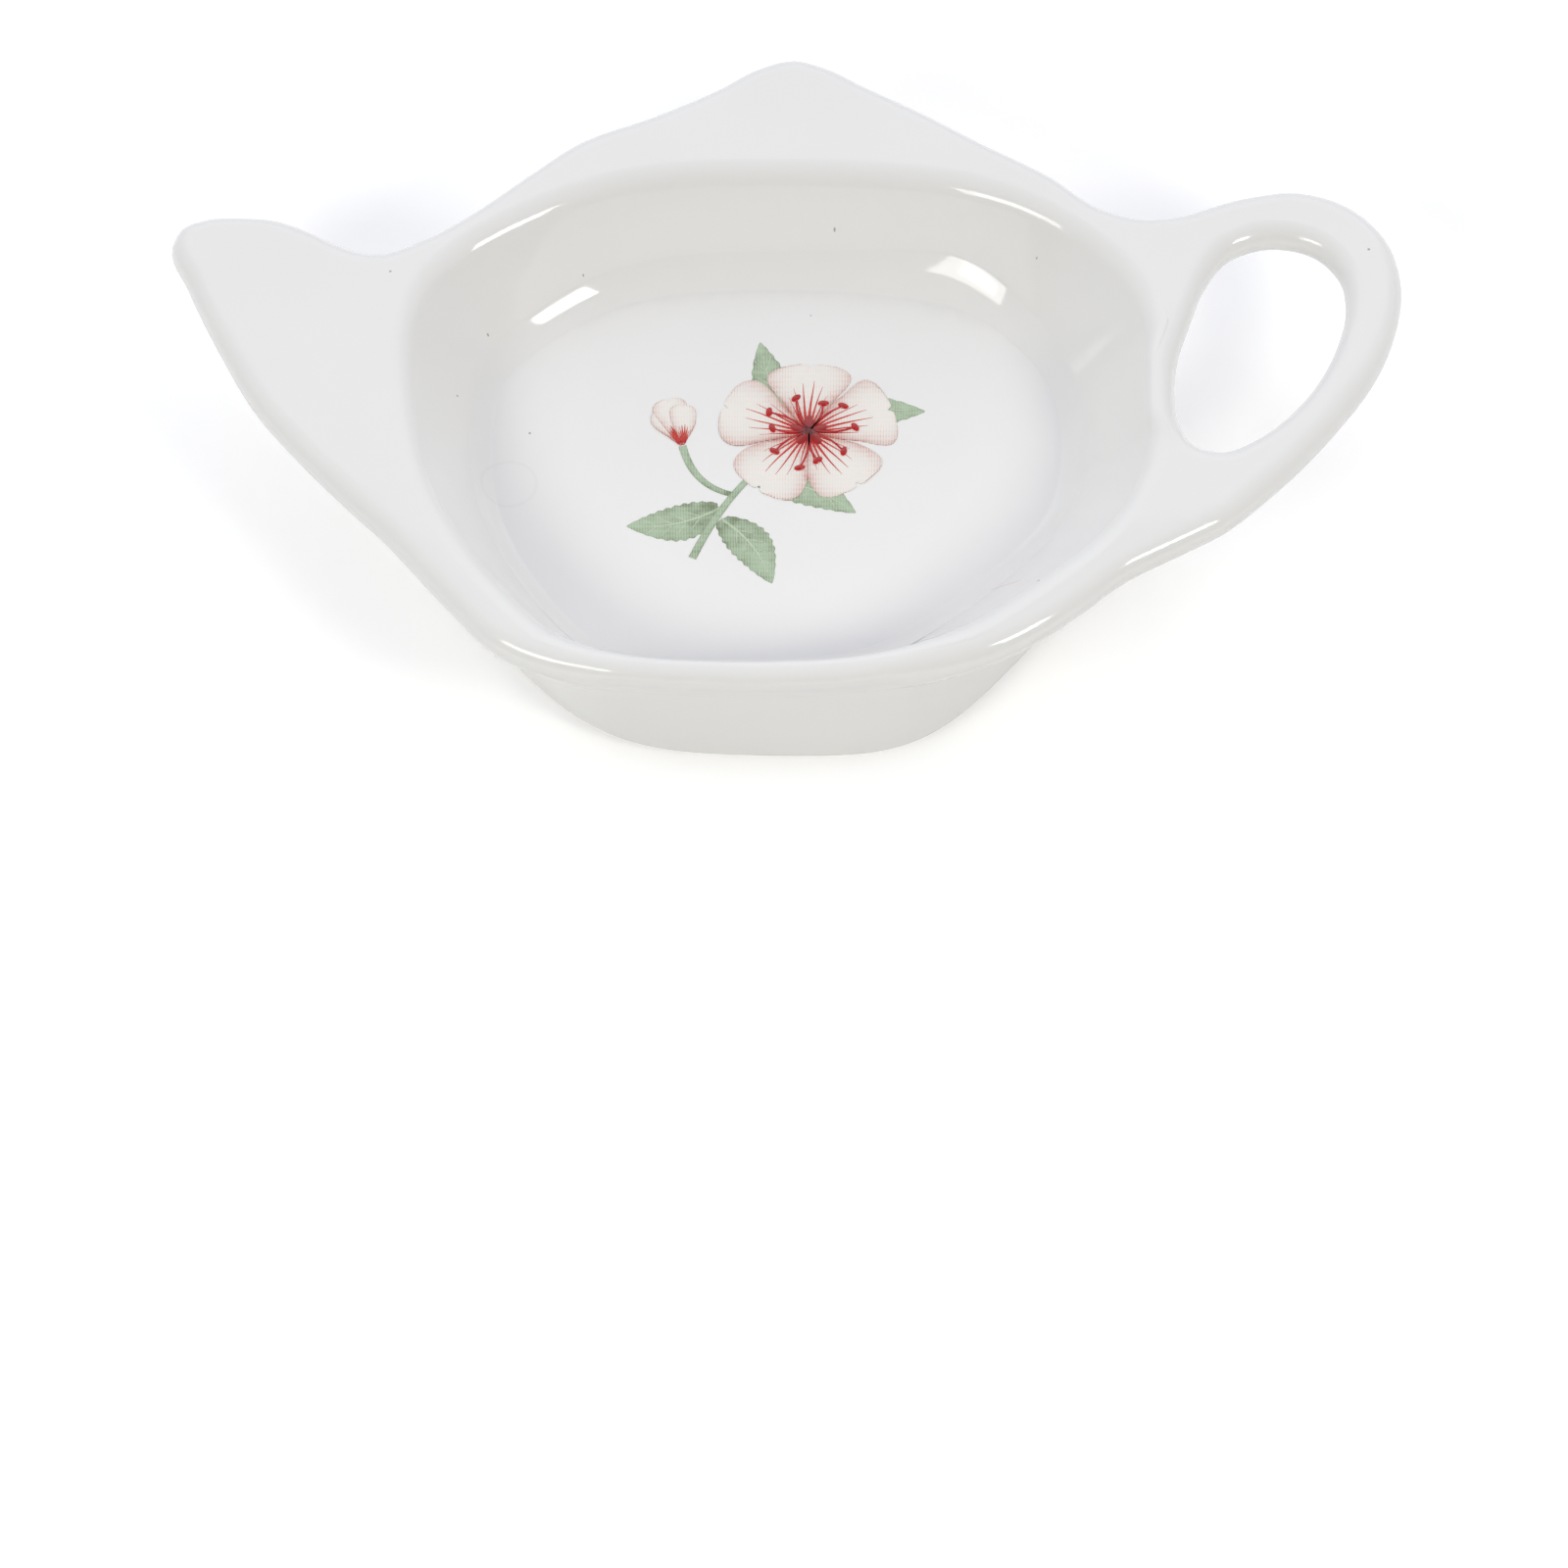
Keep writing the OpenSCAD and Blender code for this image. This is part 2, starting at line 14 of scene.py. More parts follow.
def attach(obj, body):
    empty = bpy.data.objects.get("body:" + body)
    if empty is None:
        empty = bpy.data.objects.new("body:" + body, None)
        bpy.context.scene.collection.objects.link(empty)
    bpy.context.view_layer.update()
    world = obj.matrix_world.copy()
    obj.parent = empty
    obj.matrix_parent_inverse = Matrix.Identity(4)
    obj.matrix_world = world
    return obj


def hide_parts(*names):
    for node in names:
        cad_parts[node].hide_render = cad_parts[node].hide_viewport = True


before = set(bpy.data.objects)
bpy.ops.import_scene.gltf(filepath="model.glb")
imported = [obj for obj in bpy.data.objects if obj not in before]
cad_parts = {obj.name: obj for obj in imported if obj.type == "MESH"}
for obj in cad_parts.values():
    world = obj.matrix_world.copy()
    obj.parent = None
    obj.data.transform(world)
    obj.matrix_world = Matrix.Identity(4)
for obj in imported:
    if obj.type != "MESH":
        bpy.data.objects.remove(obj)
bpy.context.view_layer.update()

MM = 0.001
# Height of the body, thickness of its flange and wall, and heights of the basin's floor and the foot
BODY_H, FLANGE_T, WALL_T, FLOOR_Z, FOOT_H = 16.0, 4.0, 2.6, 5.2, 1.2
SEAT_Z = BODY_H - FLANGE_T
# Roundings and leans of the basin's section
RIM_ROUND, FLOOR_ROUND, UNDER_ROUND, BASE_ROUND = 2.8, 5.0, 2.4, 0.8
INNER_LEAN, OUTER_LEAN = 2.3, 0.7
# Angle at which the rounding between wall and floor meets the floor
FLOOR_CREASE = math.radians(15)
# Largest share of the flange's reach that the rounding of its top edge takes
EDGE_SHARE = 0.38
# Swell of the outer wall under the rim at the front: its direction, half its spread, and the power
# that makes it level in the middle and steep at its ends
FRONT_SWELL, FRONT_DIR, FRONT_SPREAD, FRONT_FADE = 1.0, 269, 30, 8

# Directions of the basin's eight sides and their reach from its middle
SIDE_DIRS = np.array([355, 40, 90, 127, 180, 216, 269, 311], float)
SIDE_REACH = np.array([33.9, 34.1, 27.6, 32.2, 34.1, 32.4, 28.8, 29.1])
CORNER_SHARPNESS = 11
# The same sides at the top of the inner wall, with the share of the rim's flare that each has
RIM_FLARE = 2.0
FLARE_SHARES = np.array([0.9, 0.05, -0.03, 0.14, 0.62, 0.64, 0.55, 0.89])
TOP_DIRS = np.array([357, 51, 89, 124, 184, 220, 270, 309], float)
TOP_REACH = SIDE_REACH + RIM_FLARE * FLARE_SHARES
# And at the base of the outer wall, with how far it stands out there as a share
BASE_SHARES = np.array([1, 1, 1, 1, 1, 0.72, 1.65, 1.22])
BASE_DIRS = np.array([355, 40, 90, 127, 180, 221.5, 268.7, 319.7])
BASE_REACH = SIDE_REACH + (WALL_T - OUTER_LEAN) * BASE_SHARES

# Flange: widest reach at the notches, then lid, spout, handle and finger hole
FLANGE_W = 9.6
LID_HALF_W, LID_ROOT_Y, LID_RISE = 20.3, 33.1, 10.8
SPOUT_X, SPOUT_Y, SPOUT_L, SPOUT_RISE, SPOUT_W = -40.4, 19.1, 20.2, 4.65, 31.9
HANDLE_X, HANDLE_Y, HANDLE_L, HANDLE_H = 39.0, -16.3, 22.7, 43.2
HOLE_X, HOLE_Y, HOLE_L, HOLE_H = 38.7, -5.0, 17.35, 25.7

# Round the basin: direction, and share of the flange between the outer wall and its widest reach
BACK_RIGHT = [(32.8, 0.95), (37.5, 0.59), (46.5, 0.51)]
BACK_LEFT = [(131.3, 0.6), (142.5, 0.5), (149.6, 0.64)]
FRONT = [(201, 0.87), (205.7, 0.76), (217, 0.63), (226, 0.57), (234.4, 0.37), (246.6, 0.19),
         (257.5, 0.17), (269, 0.17), (287.5, 0.21), (302.5, 0.5), (311.5, 0.65), (319.2, 0.72),
         (329.8, 0.82)]
# Lid, spout, handle and hole: shares of the lengths named above
LID = [(1, 0), (0.73, 0.34), (0.42, 0.69), (0.24, 0.9), (0.07, 1), (-0.12, 0.89), (-0.31, 0.65),
       (-0.63, 0.32), (-1, 0)]
SPOUT_TOP = [(0, 0), (0.15, 0.2), (0.31, 0.59), (0.48, 0.91), (0.67, 1), (0.84, 0.95),
             (0.965, 0.67), (1, 0.26)]
SPOUT_LOW = [(0.91, 0.12), (0.74, 0.36), (0.545, 0.59), (0.3, 0.79), (0, 1)]
HANDLE = [(0, 0), (0.185, 0.058), (0.36, 0.141), (0.537, 0.238), (0.7, 0.345), (0.85, 0.461),
          (0.956, 0.593), (1, 0.731), (0.947, 0.863), (0.789, 0.958), (0.568, 1), (0.308, 0.981),
          (0, 0.926)]
HOLE = [(0.1, 0.028), (0.25, 0), (0.44, 0.058), (0.65, 0.182), (0.824, 0.342), (0.94, 0.513),
        (0.997, 0.677), (0.975, 0.833), (0.836, 0.957), (0.605, 1), (0.357, 0.94), (0.2, 0.79),
        (0.11, 0.622), (0.035, 0.463), (0, 0.28), (0.025, 0.12)]


# Outline of the part and of its basin
# Step in degrees to each side of a place at which the wall's direction is read
NORMAL_STEP = 0.5


def wall_r(dirs, side_dirs=SIDE_DIRS, side_reach=SIDE_REACH):
    """Reach of the basin wall: eight sides with rounded corners, in closed form."""
    turn = np.radians(np.asarray(dirs, float)[..., None] - side_dirs)
    share = np.maximum(0, np.cos(turn)) / side_reach
    return (share ** CORNER_SHARPNESS).sum(-1) ** (-1 / CORNER_SHARPNESS)


def flare(dirs):
    """How far the inner wall stands out over the wall line at its top."""
    return wall_r(dirs, TOP_DIRS, TOP_REACH) - wall_r(dirs)


def outer_top(dirs):
    """Distance of the outer wall from the wall line, under the flange."""
    turn = (np.asarray(dirs, float) % 360 - FRONT_DIR) / FRONT_SPREAD
    return WALL_T + FRONT_SWELL * np.exp(-turn ** FRONT_FADE)


def outer_base(dirs):
    """Distance of the outer wall's base from the wall line."""
    return wall_r(dirs, BASE_DIRS, BASE_REACH) - wall_r(dirs)


def direction(points):
    return np.degrees(np.arctan2(points[..., 1], points[..., 0]))


def polar(dirs, r):
    a = np.radians(dirs)
    return np.stack([np.cos(a) * r, np.sin(a) * r], -1)


def wall_point(dirs):
    return polar(dirs, wall_r(dirs))


def wall_normal(dirs):
    dirs = np.asarray(dirs)
    along = wall_point(dirs + NORMAL_STEP) - wall_point(dirs - NORMAL_STEP)
    along /= np.linalg.norm(along, axis=-1, keepdims=True)
    return np.stack([along[..., 1], -along[..., 0]], -1)


def reach_at(points):
    """Distance of points from the basin wall, square to the wall."""
    dirs = direction(points)
    return ((points - wall_point(dirs)) * wall_normal(dirs)).sum(-1)


def curve(knots, steps):
    """Smooth closed curve through knots, with tangents weighed by the distances between them."""
    k = np.array(knots, float)
    before, after = k - np.roll(k, 1, 0), np.roll(k, -1, 0) - k
    s = np.linalg.norm(before, axis=1)[:, None]
    t = np.linalg.norm(after, axis=1)[:, None]
    tangent = (before * t / s + after * s / t) / (s + t)
    ends, end_tangent = np.roll(k, -1, 0), np.roll(tangent, -1, 0)
    parts = []
    for u in np.arange(steps) / steps:
        parts.append(k * (1 + 2 * u) * (1 - u) ** 2 + ends * (3 - 2 * u) * u ** 2
                     + t * tangent * u * (1 - u) ** 2 - t * end_tangent * (1 - u) * u ** 2)
    return np.stack(parts, 1).reshape(-1, 2)


def rim_knots(shares):
    return [tuple(polar(d, wall_r(d) + WALL_T + w * (FLANGE_W - WALL_T))) for d, w in shares]


def outline_knots():
    knots = rim_knots(BACK_RIGHT)
    knots += [(x * LID_HALF_W, LID_ROOT_Y + y * LID_RISE) for x, y in LID]
    knots += rim_knots(BACK_LEFT)
    knots += [(SPOUT_X - x * SPOUT_L, SPOUT_Y + y * SPOUT_RISE) for x, y in SPOUT_TOP]
    knots += [(SPOUT_X - x * SPOUT_L, SPOUT_Y - y * SPOUT_W) for x, y in SPOUT_LOW]
    knots += rim_knots(FRONT)
    return knots + [(HANDLE_X + x * HANDLE_L, HANDLE_Y + y * HANDLE_H) for x, y in HANDLE]


def side_normals(points, outward):
    """Unit normals of a closed curve; outward is 1 for a curve against the clock."""
    along = np.roll(points, -1, 0) - np.roll(points, 1, 0)
    along /= np.linalg.norm(along, axis=1)[:, None]
    return np.stack([along[:, 1], -along[:, 0]], 1) * outward


# Mesh helpers
# The solids' outline, with their steps between knots, and its middle in the frame of the opening
CAD_STEPS = 4
CAD_OUTLINE = curve(outline_knots(), CAD_STEPS)
MIDDLE = tuple((CAD_OUTLINE.max(0) + CAD_OUTLINE.min(0)) / 2)


def put(points):
    """Millimetres about the basin's middle to metres of the row frame."""
    return (np.array(points, float) - (*MIDDLE, 0)) * MM


def shading_normals(mesh):
    """Normals weighed by area, so that a narrow face takes its shade from its neighbours."""
    normals = np.zeros((len(mesh.vertices), 3))
    for face in mesh.polygons:
        normals[list(face.vertices)] += np.array(face.normal) * face.area
    return [Vector(n).normalized() for n in normals]


def mesh_object(name, points, faces, material):
    mesh = bpy.data.meshes.new(name)
    mesh.from_pydata([tuple(p) for p in put(points)], [], [tuple(f) for f in faces])
    mesh.validate()
    work = bmesh.new()
    work.from_mesh(mesh)
    bmesh.ops.recalc_face_normals(work, faces=work.faces)
    if work.calc_volume(signed=True) < 0:
        bmesh.ops.reverse_faces(work, faces=work.faces)
    work.to_mesh(mesh)
    work.free()
    mesh.polygons.foreach_set("use_smooth", [True] * len(mesh.polygons))
    mesh.normals_split_custom_set_from_vertices(shading_normals(mesh))
    obj = bpy.data.objects.new(name, mesh)
    bpy.context.scene.collection.objects.link(obj)
    mesh.materials.append(material)
    return obj


# Sheets: height of a row of grid points over its step, least distance of a grid point from an edge
# as a share of the step, and distance at which points are one
ROW_SHARE, CLEAR_SHARE, SAME_POINT = 0.866, 0.6, 1e-7


class Skin:
    """Collects rings of points and the faces between them."""

    def __init__(self):
        self.points, self.faces = [], []

    def ring(self, points):
        first = len(self.points)
        self.points += [tuple(p) for p in points]
        return list(range(first, first + len(points)))

    def band(self, a, b):
        """Quads between two rings of equal length."""
        n = len(a)
        for i in range(n):
            j = (i + 1) % n
            self.faces.append((a[i], a[j], b[j], b[i]))

    def sheet(self, loops, holes, height, grid):
        """Triangulated sheet between the first loop and the holes, at the height of each place."""
        rings = loops + holes
        ids = [i for r in rings for i in r]
        flat = [Vector(self.points[i][:2]) for i in ids]
        edges, at = [], 0
        for r in rings:
            n = len(r)
            edges += [(at + i, at + (i + 1) % n) for i in range(n)]
            at += n
        outer = np.array([self.points[i][:2] for i in rings[0]])
        inner = [np.array([self.points[i][:2] for i in r]) for r in rings[1:]]
        extra = [p for p in grid_points(outer, grid)
                 if inside(outer, p) and not any(inside(h, p) for h in inner)
                 and clear_of(p, [outer] + inner, grid * CLEAR_SHARE)]
        verts, _, tris, origin, _, _ = delaunay_2d_cdt(
            flat + [Vector(p) for p in extra], edges, [], 0, SAME_POINT)
        new_id = []
        for v, from_ids in zip(verts, origin):
            if from_ids and from_ids[0] < len(ids):
                new_id.append(ids[from_ids[0]])
            else:
                self.points.append((v.x, v.y, height(np.array([v.x, v.y]))))
                new_id.append(len(self.points) - 1)
        for t in tris:
            mid = np.array(sum((verts[i] for i in t), Vector((0, 0))) / len(t))
            if inside(outer, mid) and not any(inside(h, mid) for h in inner):
                self.faces.append(tuple(new_id[i] for i in t))


def grid_points(loop, step):
    """Points of a grid with every second row shifted, over the box of a loop."""
    lo, hi = loop.min(0), loop.max(0)
    rows = np.arange(lo[1], hi[1], step * ROW_SHARE)
    return [np.array([x + (step / 2 if r % 2 else 0), y]) for r, y in enumerate(rows)
            for x in np.arange(lo[0], hi[0], step)]


def inside(loop, p):
    """Whether a closed loop holds a point."""
    a, b = loop, np.roll(loop, -1, 0)
    crosses = (a[:, 1] > p[1]) != (b[:, 1] > p[1])
    dy = np.where(crosses, b[:, 1] - a[:, 1], 1)
    cut = a[:, 0] + (p[1] - a[:, 1]) * (b[:, 0] - a[:, 0]) / dy
    return bool(np.count_nonzero(crosses & (p[0] < cut)) % 2)


def clear_of(p, loops, gap):
    return all(((loop - p) ** 2).sum(1).min() > gap * gap for loop in loops)


# Glazed skin
# Steps of a rounding, steps between two knots of the outline, and directions of the wall's points
EDGE_STEPS, CURVE_STEPS = 12, 6
WALL_DIRS = np.arange(0, 360, 1.5)
# Grids of the level sheets: flange top, its underside, basin floor and the bottom over the foot
TOP_GRID, SEAT_GRID, FLOOR_GRID, FOOT_GRID = 1.6, 3.0, 3.0, 4.0
# How far the flange sinks, and the distances from the wall where that starts and over which it goes
ROLL, ROLL_START, ROLL_SPREAD = 0.28, 3.2, 7.0
# Least width left between two roundings
LEAST_GAP = 0.1
# Where the rounding into the floor is wider or narrower: by how much, its direction and spread
ROUND_SHIFTS = [(1.5, 55, 18), (-1.6, 205, 40)]
# How deep the bend into the floor is under the chord between its ends
FLOOR_BULGE = 0.2
# Ledge under the edge that stays a ledge; a smaller one is drawn as a soft bend of the edge down
# to the wall: what is left of the ledge, how far the bend draws in, and how much higher it starts,
# as a share of the flange's thickness
LEDGE, NO_LEDGE, RECESS, RAISE = 0.6, 0.06, 0.6, 0.25
# Foot ring: distance in from the outer wall's base, width and rounding
FOOT_IN, FOOT_W, FOOT_ROUND = 1.4, 2.6, 0.45


def top_height(points):
    """The flange is highest at the crest round the basin and sinks a little towards its edges."""
    w = np.maximum(0, reach_at(np.asarray(points)) - ROLL_START)
    return BODY_H - ROLL * (1 - np.exp(-(w / ROLL_SPREAD) ** 2))


def flush(w, dirs):
    """1 where hardly a ledge is left under the edge, and 0 where there is a full one."""
    return 1 - np.clip((w - outer_top(dirs) - LEDGE) / LEDGE, 0, 1)


def wall_top(w, dirs):
    """Offset of the outer wall under the edge."""
    swell = outer_top(dirs)
    return swell + flush(w, dirs) * (w - NO_LEDGE - RECESS - swell)


def ledge(w, dirs):
    """Width of the ledge between the edge and the outer wall."""
    return np.clip(w - wall_top(w, dirs) - flush(w, dirs) * RECESS, NO_LEDGE, FLANGE_T)


def edge_over(w):
    """How far the top of the flange draws in over its rounded edge."""
    return np.minimum(FLANGE_T / 2, w * EDGE_SHARE)


def edge_rings(skin, points, normals):
    """Rings over the rounded edge of the flange, from its top to its underside."""
    w, dirs = reach_at(points), direction(points)
    top, bent = top_height(points), flush(w, dirs)
    mid = SEAT_Z + (top - SEAT_Z) * (0.5 + RAISE * bent)
    rings = []
    for a in np.radians(np.linspace(90, -90, 2 * EDGE_STEPS + 1)):
        rise, turn = math.sin(a), 1 - math.cos(a)
        if a > 0:
            inset, z = edge_over(w) * turn, mid + (top - mid) * rise
        else:
            inset = ledge(w, dirs) / 2 * turn + bent * RECESS * rise ** 2 * (3 + 2 * rise)
            z = mid + (mid - SEAT_Z) * rise
        rings.append(skin.ring(np.column_stack([points - normals * inset[:, None], z])))
    return rings


def free_width(loops, dirs):
    """Width of the flange from the wall line to the nearest edge, square to the wall."""
    widths = []
    for d in dirs:
        start, out = wall_point(d), wall_normal(d)
        best = FLANGE_W
        for loop in loops:
            a, b = loop - start, np.roll(loop, -1, 0) - start
            side_a, side_b = a @ (-out[1], out[0]), b @ (-out[1], out[0])
            hit = (side_a > 0) != (side_b > 0)
            t = side_a[hit] / (side_a[hit] - side_b[hit])
            along = a[hit] @ out * (1 - t) + b[hit] @ out * t
            best = min([best] + [v for v in along if v > 0])
        widths.append(best)
    return np.array(widths)


def quarter(up):
    """Angles of a rounding from the wall's line, down to it or up from it."""
    steps = np.radians(np.linspace(0, 90, EDGE_STEPS + 1))
    return steps if up else steps[::-1]


def inner_section(top, r, floor_r):
    """Rows over the rim's rounding, then down a shallow bend from the straight wall to the floor."""
    low = FLOOR_Z + floor_r * math.cos(FLOOR_CREASE)
    across, rise = top + r + INNER_LEAN + floor_r, BODY_H - r - low
    touch = np.arcsin(np.minimum(1, (r + floor_r) / np.hypot(across, rise)))
    start = math.pi / 2 - np.arctan2(rise, across) - touch
    rows = []
    for share in np.linspace(1, 0, EDGE_STEPS + 1):
        a = start + (math.pi / 2 - start) * share
        rows.append((top + r * (1 - np.cos(a)), BODY_H - r * (1 - np.sin(a))))
    foot = (-INNER_LEAN - floor_r * (1 - np.cos(start)), low - floor_r * np.sin(start))
    end = -INNER_LEAN - floor_r * (1 - math.sin(FLOOR_CREASE))
    chord = np.hypot(end - foot[0], FLOOR_Z - foot[1])
    for share in np.linspace(0, 1, EDGE_STEPS + 1):
        sag = 4 * FLOOR_BULGE * share * (1 - share) / chord
        rows.append((foot[0] + (end - foot[0]) * share + (foot[1] - FLOOR_Z) * sag,
                     foot[1] + (FLOOR_Z - foot[1]) * share + (end - foot[0]) * sag))
    return rows


def outer_section(width):
    """Rows of the outer wall, from under the flange down to its base."""
    swell, base = wall_top(width, WALL_DIRS), outer_base(WALL_DIRS)
    under = np.clip(ledge(width, WALL_DIRS) / 2 - NO_LEDGE / 4, NO_LEDGE / 4, UNDER_ROUND)
    rows = [(swell + under * (1 - math.cos(a)), SEAT_Z - under * (1 - math.sin(a)))
            for a in quarter(False)]
    return rows + [(base - BASE_ROUND * (1 - math.cos(a)), FOOT_H + BASE_ROUND * (1 - math.sin(a)))
                   for a in quarter(True)]


def wall_rings(skin, section):
    """Rings round the basin, one for each offset from the wall line and height of a section."""
    wall, out = wall_point(WALL_DIRS), wall_normal(WALL_DIRS)
    rings = []
    for offset, z in section:
        offset, z = (np.broadcast_to(v, WALL_DIRS.shape) for v in (offset, z))
        rings.append(skin.ring(np.column_stack([wall + out * offset[:, None], z])))
    return rings


def porcelain_skin(material):
    """Spout, lid, handle, rim and basin in one closed skin, as the real casting has no seams."""
    skin = Skin()
    outline = curve(outline_knots(), CURVE_STEPS)
    hole = curve([(HOLE_X + x * HOLE_L, HOLE_Y + y * HOLE_H) for x, y in HOLE], CURVE_STEPS)
    outer = edge_rings(skin, outline, side_normals(outline, 1))
    inner = edge_rings(skin, hole, side_normals(hole, -1))
    top = flare(WALL_DIRS)
    floor_r = FLOOR_ROUND + sum(shift * np.exp(-((WALL_DIRS - at) / spread) ** 2)
                                for shift, at, spread in ROUND_SHIFTS)
    width = free_width([outline, hole], WALL_DIRS)
    r = np.minimum(RIM_ROUND, width - edge_over(width) - top - LEAST_GAP)
    rings = wall_rings(skin, inner_section(top, r, floor_r))
    lows = wall_rings(skin, outer_section(width))
    for row in (outer, inner, rings, lows):
        for a, b in zip(row, row[1:]):
            skin.band(a, b)
    skin.sheet([rings[-1]], [], lambda p: FLOOR_Z, FLOOR_GRID)
    skin.sheet([outer[0]], [inner[0], rings[0]], lambda p: float(top_height(p)), TOP_GRID)
    skin.sheet([outer[-1]], [inner[-1], lows[0]], lambda p: SEAT_Z, SEAT_GRID)
    skin.sheet([lows[-1]], [], lambda p: FOOT_H, FOOT_GRID)
    piece = mesh_object("porcelain_skin", skin.points, skin.faces, material)
    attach(piece, "root")
    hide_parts("basin", "rim", "spout", "lid_peak", "handle")


def foot_ring(material):
    """A bare ring with rounded edges, a little way in from the base of the outer wall."""
    reach = wall_r(WALL_DIRS, BASE_DIRS, BASE_REACH) - FOOT_IN
    section = [(-FOOT_ROUND * (1 - math.cos(a)), FOOT_ROUND * (1 - math.sin(a)))
               for a in quarter(True)]
    section += [(-FOOT_W + FOOT_ROUND * (1 - math.cos(a)), FOOT_ROUND * (1 - math.sin(a)))
                for a in quarter(False)]
    section = [(0, FOOT_H)] + section + [(-FOOT_W, FOOT_H)]
    skin = Skin()
    rings = []
    for offset, z in section:
        p = polar(WALL_DIRS, reach + offset)
        rings.append(skin.ring(np.column_stack([p, np.full(len(p), z)])))
    for a, b in zip(rings, rings[1:] + rings[:1]):
        skin.band(a, b)
    piece = mesh_object("bare_foot_ring", skin.points, skin.faces, material)
    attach(piece, "root")
    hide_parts("foot_ring")


# Print: a blossom and a bud on a stem with leaves, and their place
PRINT_X, PRINT_Y = -0.5, 0.8
# Depth to which ink layers are sunk, and heights of their tops over the floor
INK_SINK = 0.02
LEAF_TOP, VEIN_TOP, PETAL_TOP, STREAK_TOP, THROAT_TOP, STAMEN_TOP = 0.03, 0.045, 0.06, 0.016, 0.15, 0.17
# Small steps of height that keep inks of one layer apart where they cross
LEAF_STEP, STEM_STEP, STALK_STEP, SIDE_VEIN_STEP, FILAMENT_STEP = 0.003, 0.012, 0.006, 0.003, 0.01
# Where shapes start and end along their length, as shares: petal, leaf and its middle vein
PETAL_START, LEAF_START, SHAPE_END = 0.03, 0.06, 0.995
VEIN_START, VEIN_REACH = 0.05, 0.87

# Blossom: its middle, direction of the first petal, petals, their length and width
BLOSSOM_OFF, BLOSSOM_TURN, PETALS, PETAL_L, PETAL_W = 3.4, 18, 5, 8.8, 8.2
BLOSSOM = (BLOSSOM_OFF, BLOSSOM_OFF)
PETAL_SIZES = (1, 0.94, 1.04)
# How much higher one side of a petal lies than the other, so that each overlaps the next
PETAL_TILT = 0.05
# Outline of a petal: powers towards its root and tip, greatest width of that curve, notch at the tip
# with its half width, waves along the sides, and sway to one side
ROOT_POWER, TIP_POWER, CURVE_W = 0.9, 6, 0.72
NOTCH, NOTCH_W, WAVE, WAVE_TURN, SWAY, SWAY_TURN = 0.06, 0.22, 0.05, 9, 0.02, 3
PETAL_ROWS, PETAL_COLUMNS = 26, 15
# Bud: direction, length and width, and its petals as turn and size with how narrow they are
BUD_DIR, BUD_L, BUD_W = 105, 6.0, 4.8
BUD_PETALS, BUD_NARROW, BUD_STREAK = ((-15, 0.84), (15, 0.84), (0, 1)), 0.72, 0.7
# Streaks on a petal: place across it, where they end along it, and their width; then where all of
# them start, how they taper, and their points
STREAKS = [(-0.62, 0.52, 0.16), (-0.36, 0.66, 0.22), (-0.12, 0.78, 0.28), (0.14, 0.74, 0.26),
           (0.4, 0.64, 0.2), (0.66, 0.5, 0.15)]
STREAK_START, STREAK_TAPER, STREAK_POINTS = 0.08, (1.25, 0.12), 14
# Throat: reach at the petals, how far it waves in between them as a share, and points
THROAT_R, THROAT_WAVE, THROAT_POINTS = 1.9, 0.28, 120
# Stamens: length, width, start, bow to the side, taper and points of a filament; turns and sizes
STAMEN_L, STAMEN_W, STAMEN_START, STAMEN_BOW, STAMEN_TAPER, STAMEN_POINTS = 4.6, 0.26, 0.3, 0.7, 0.4, 10
STAMEN_TURNS, STAMEN_SIZES = (6, -5, 0), (1, 0.8, 0.92)
# Anthers: size as half axes, their turn from the filament, and points
ANTHER_HALVES, ANTHER_TURN, ANTHER_POINTS = (0.315, 0.546), 25, 20

# Stem and bud stalk as bends of three points, in shares of the leaf length, and how they taper
STEM = ((0.1, 0.1), (-0.4, -0.25), (-0.75, -1.1))
STALK = ((-0.36, -0.4), (-0.75, -0.32), (-0.85, 0.15))
STEM_W, STEM_TAPER, STEM_POINTS = 0.8, 0.3, 24
# Leaves: place on the stem (0 is the blossom), direction and length as a share
LEAVES = [(0.35, 338, 1.05), (0.62, 194, 0.92), (0.7, 304, 0.9), (0, 114, 1.12), (0, 12, 1.1)]
# Their length and width, the bow of their middle, power of the curve of their sides, and teeth
LEAF_L, LEAF_W, LEAF_BOW, LEAF_POWER, TOOTH, TOOTH_TURN = 10.8, 4.2, 0.09, 0.85, 0.05, 70
LEAF_ROWS, LEAF_COLUMNS = 60, 9
# Veins: width, start and end of their taper in the middle and at the sides; then places of the side
# veins, their reach along and across the leaf, and points
VEIN_W, MIDDLE_TAPER, SIDE_TAPER = 0.3, (1.1, 0.2), (0.55, 0.15)
SIDE_VEINS, SIDE_ALONG, SIDE_ACROSS, VEIN_POINTS = (0.25, 0.4, 0.55, 0.7), 0.14, 0.62, 12


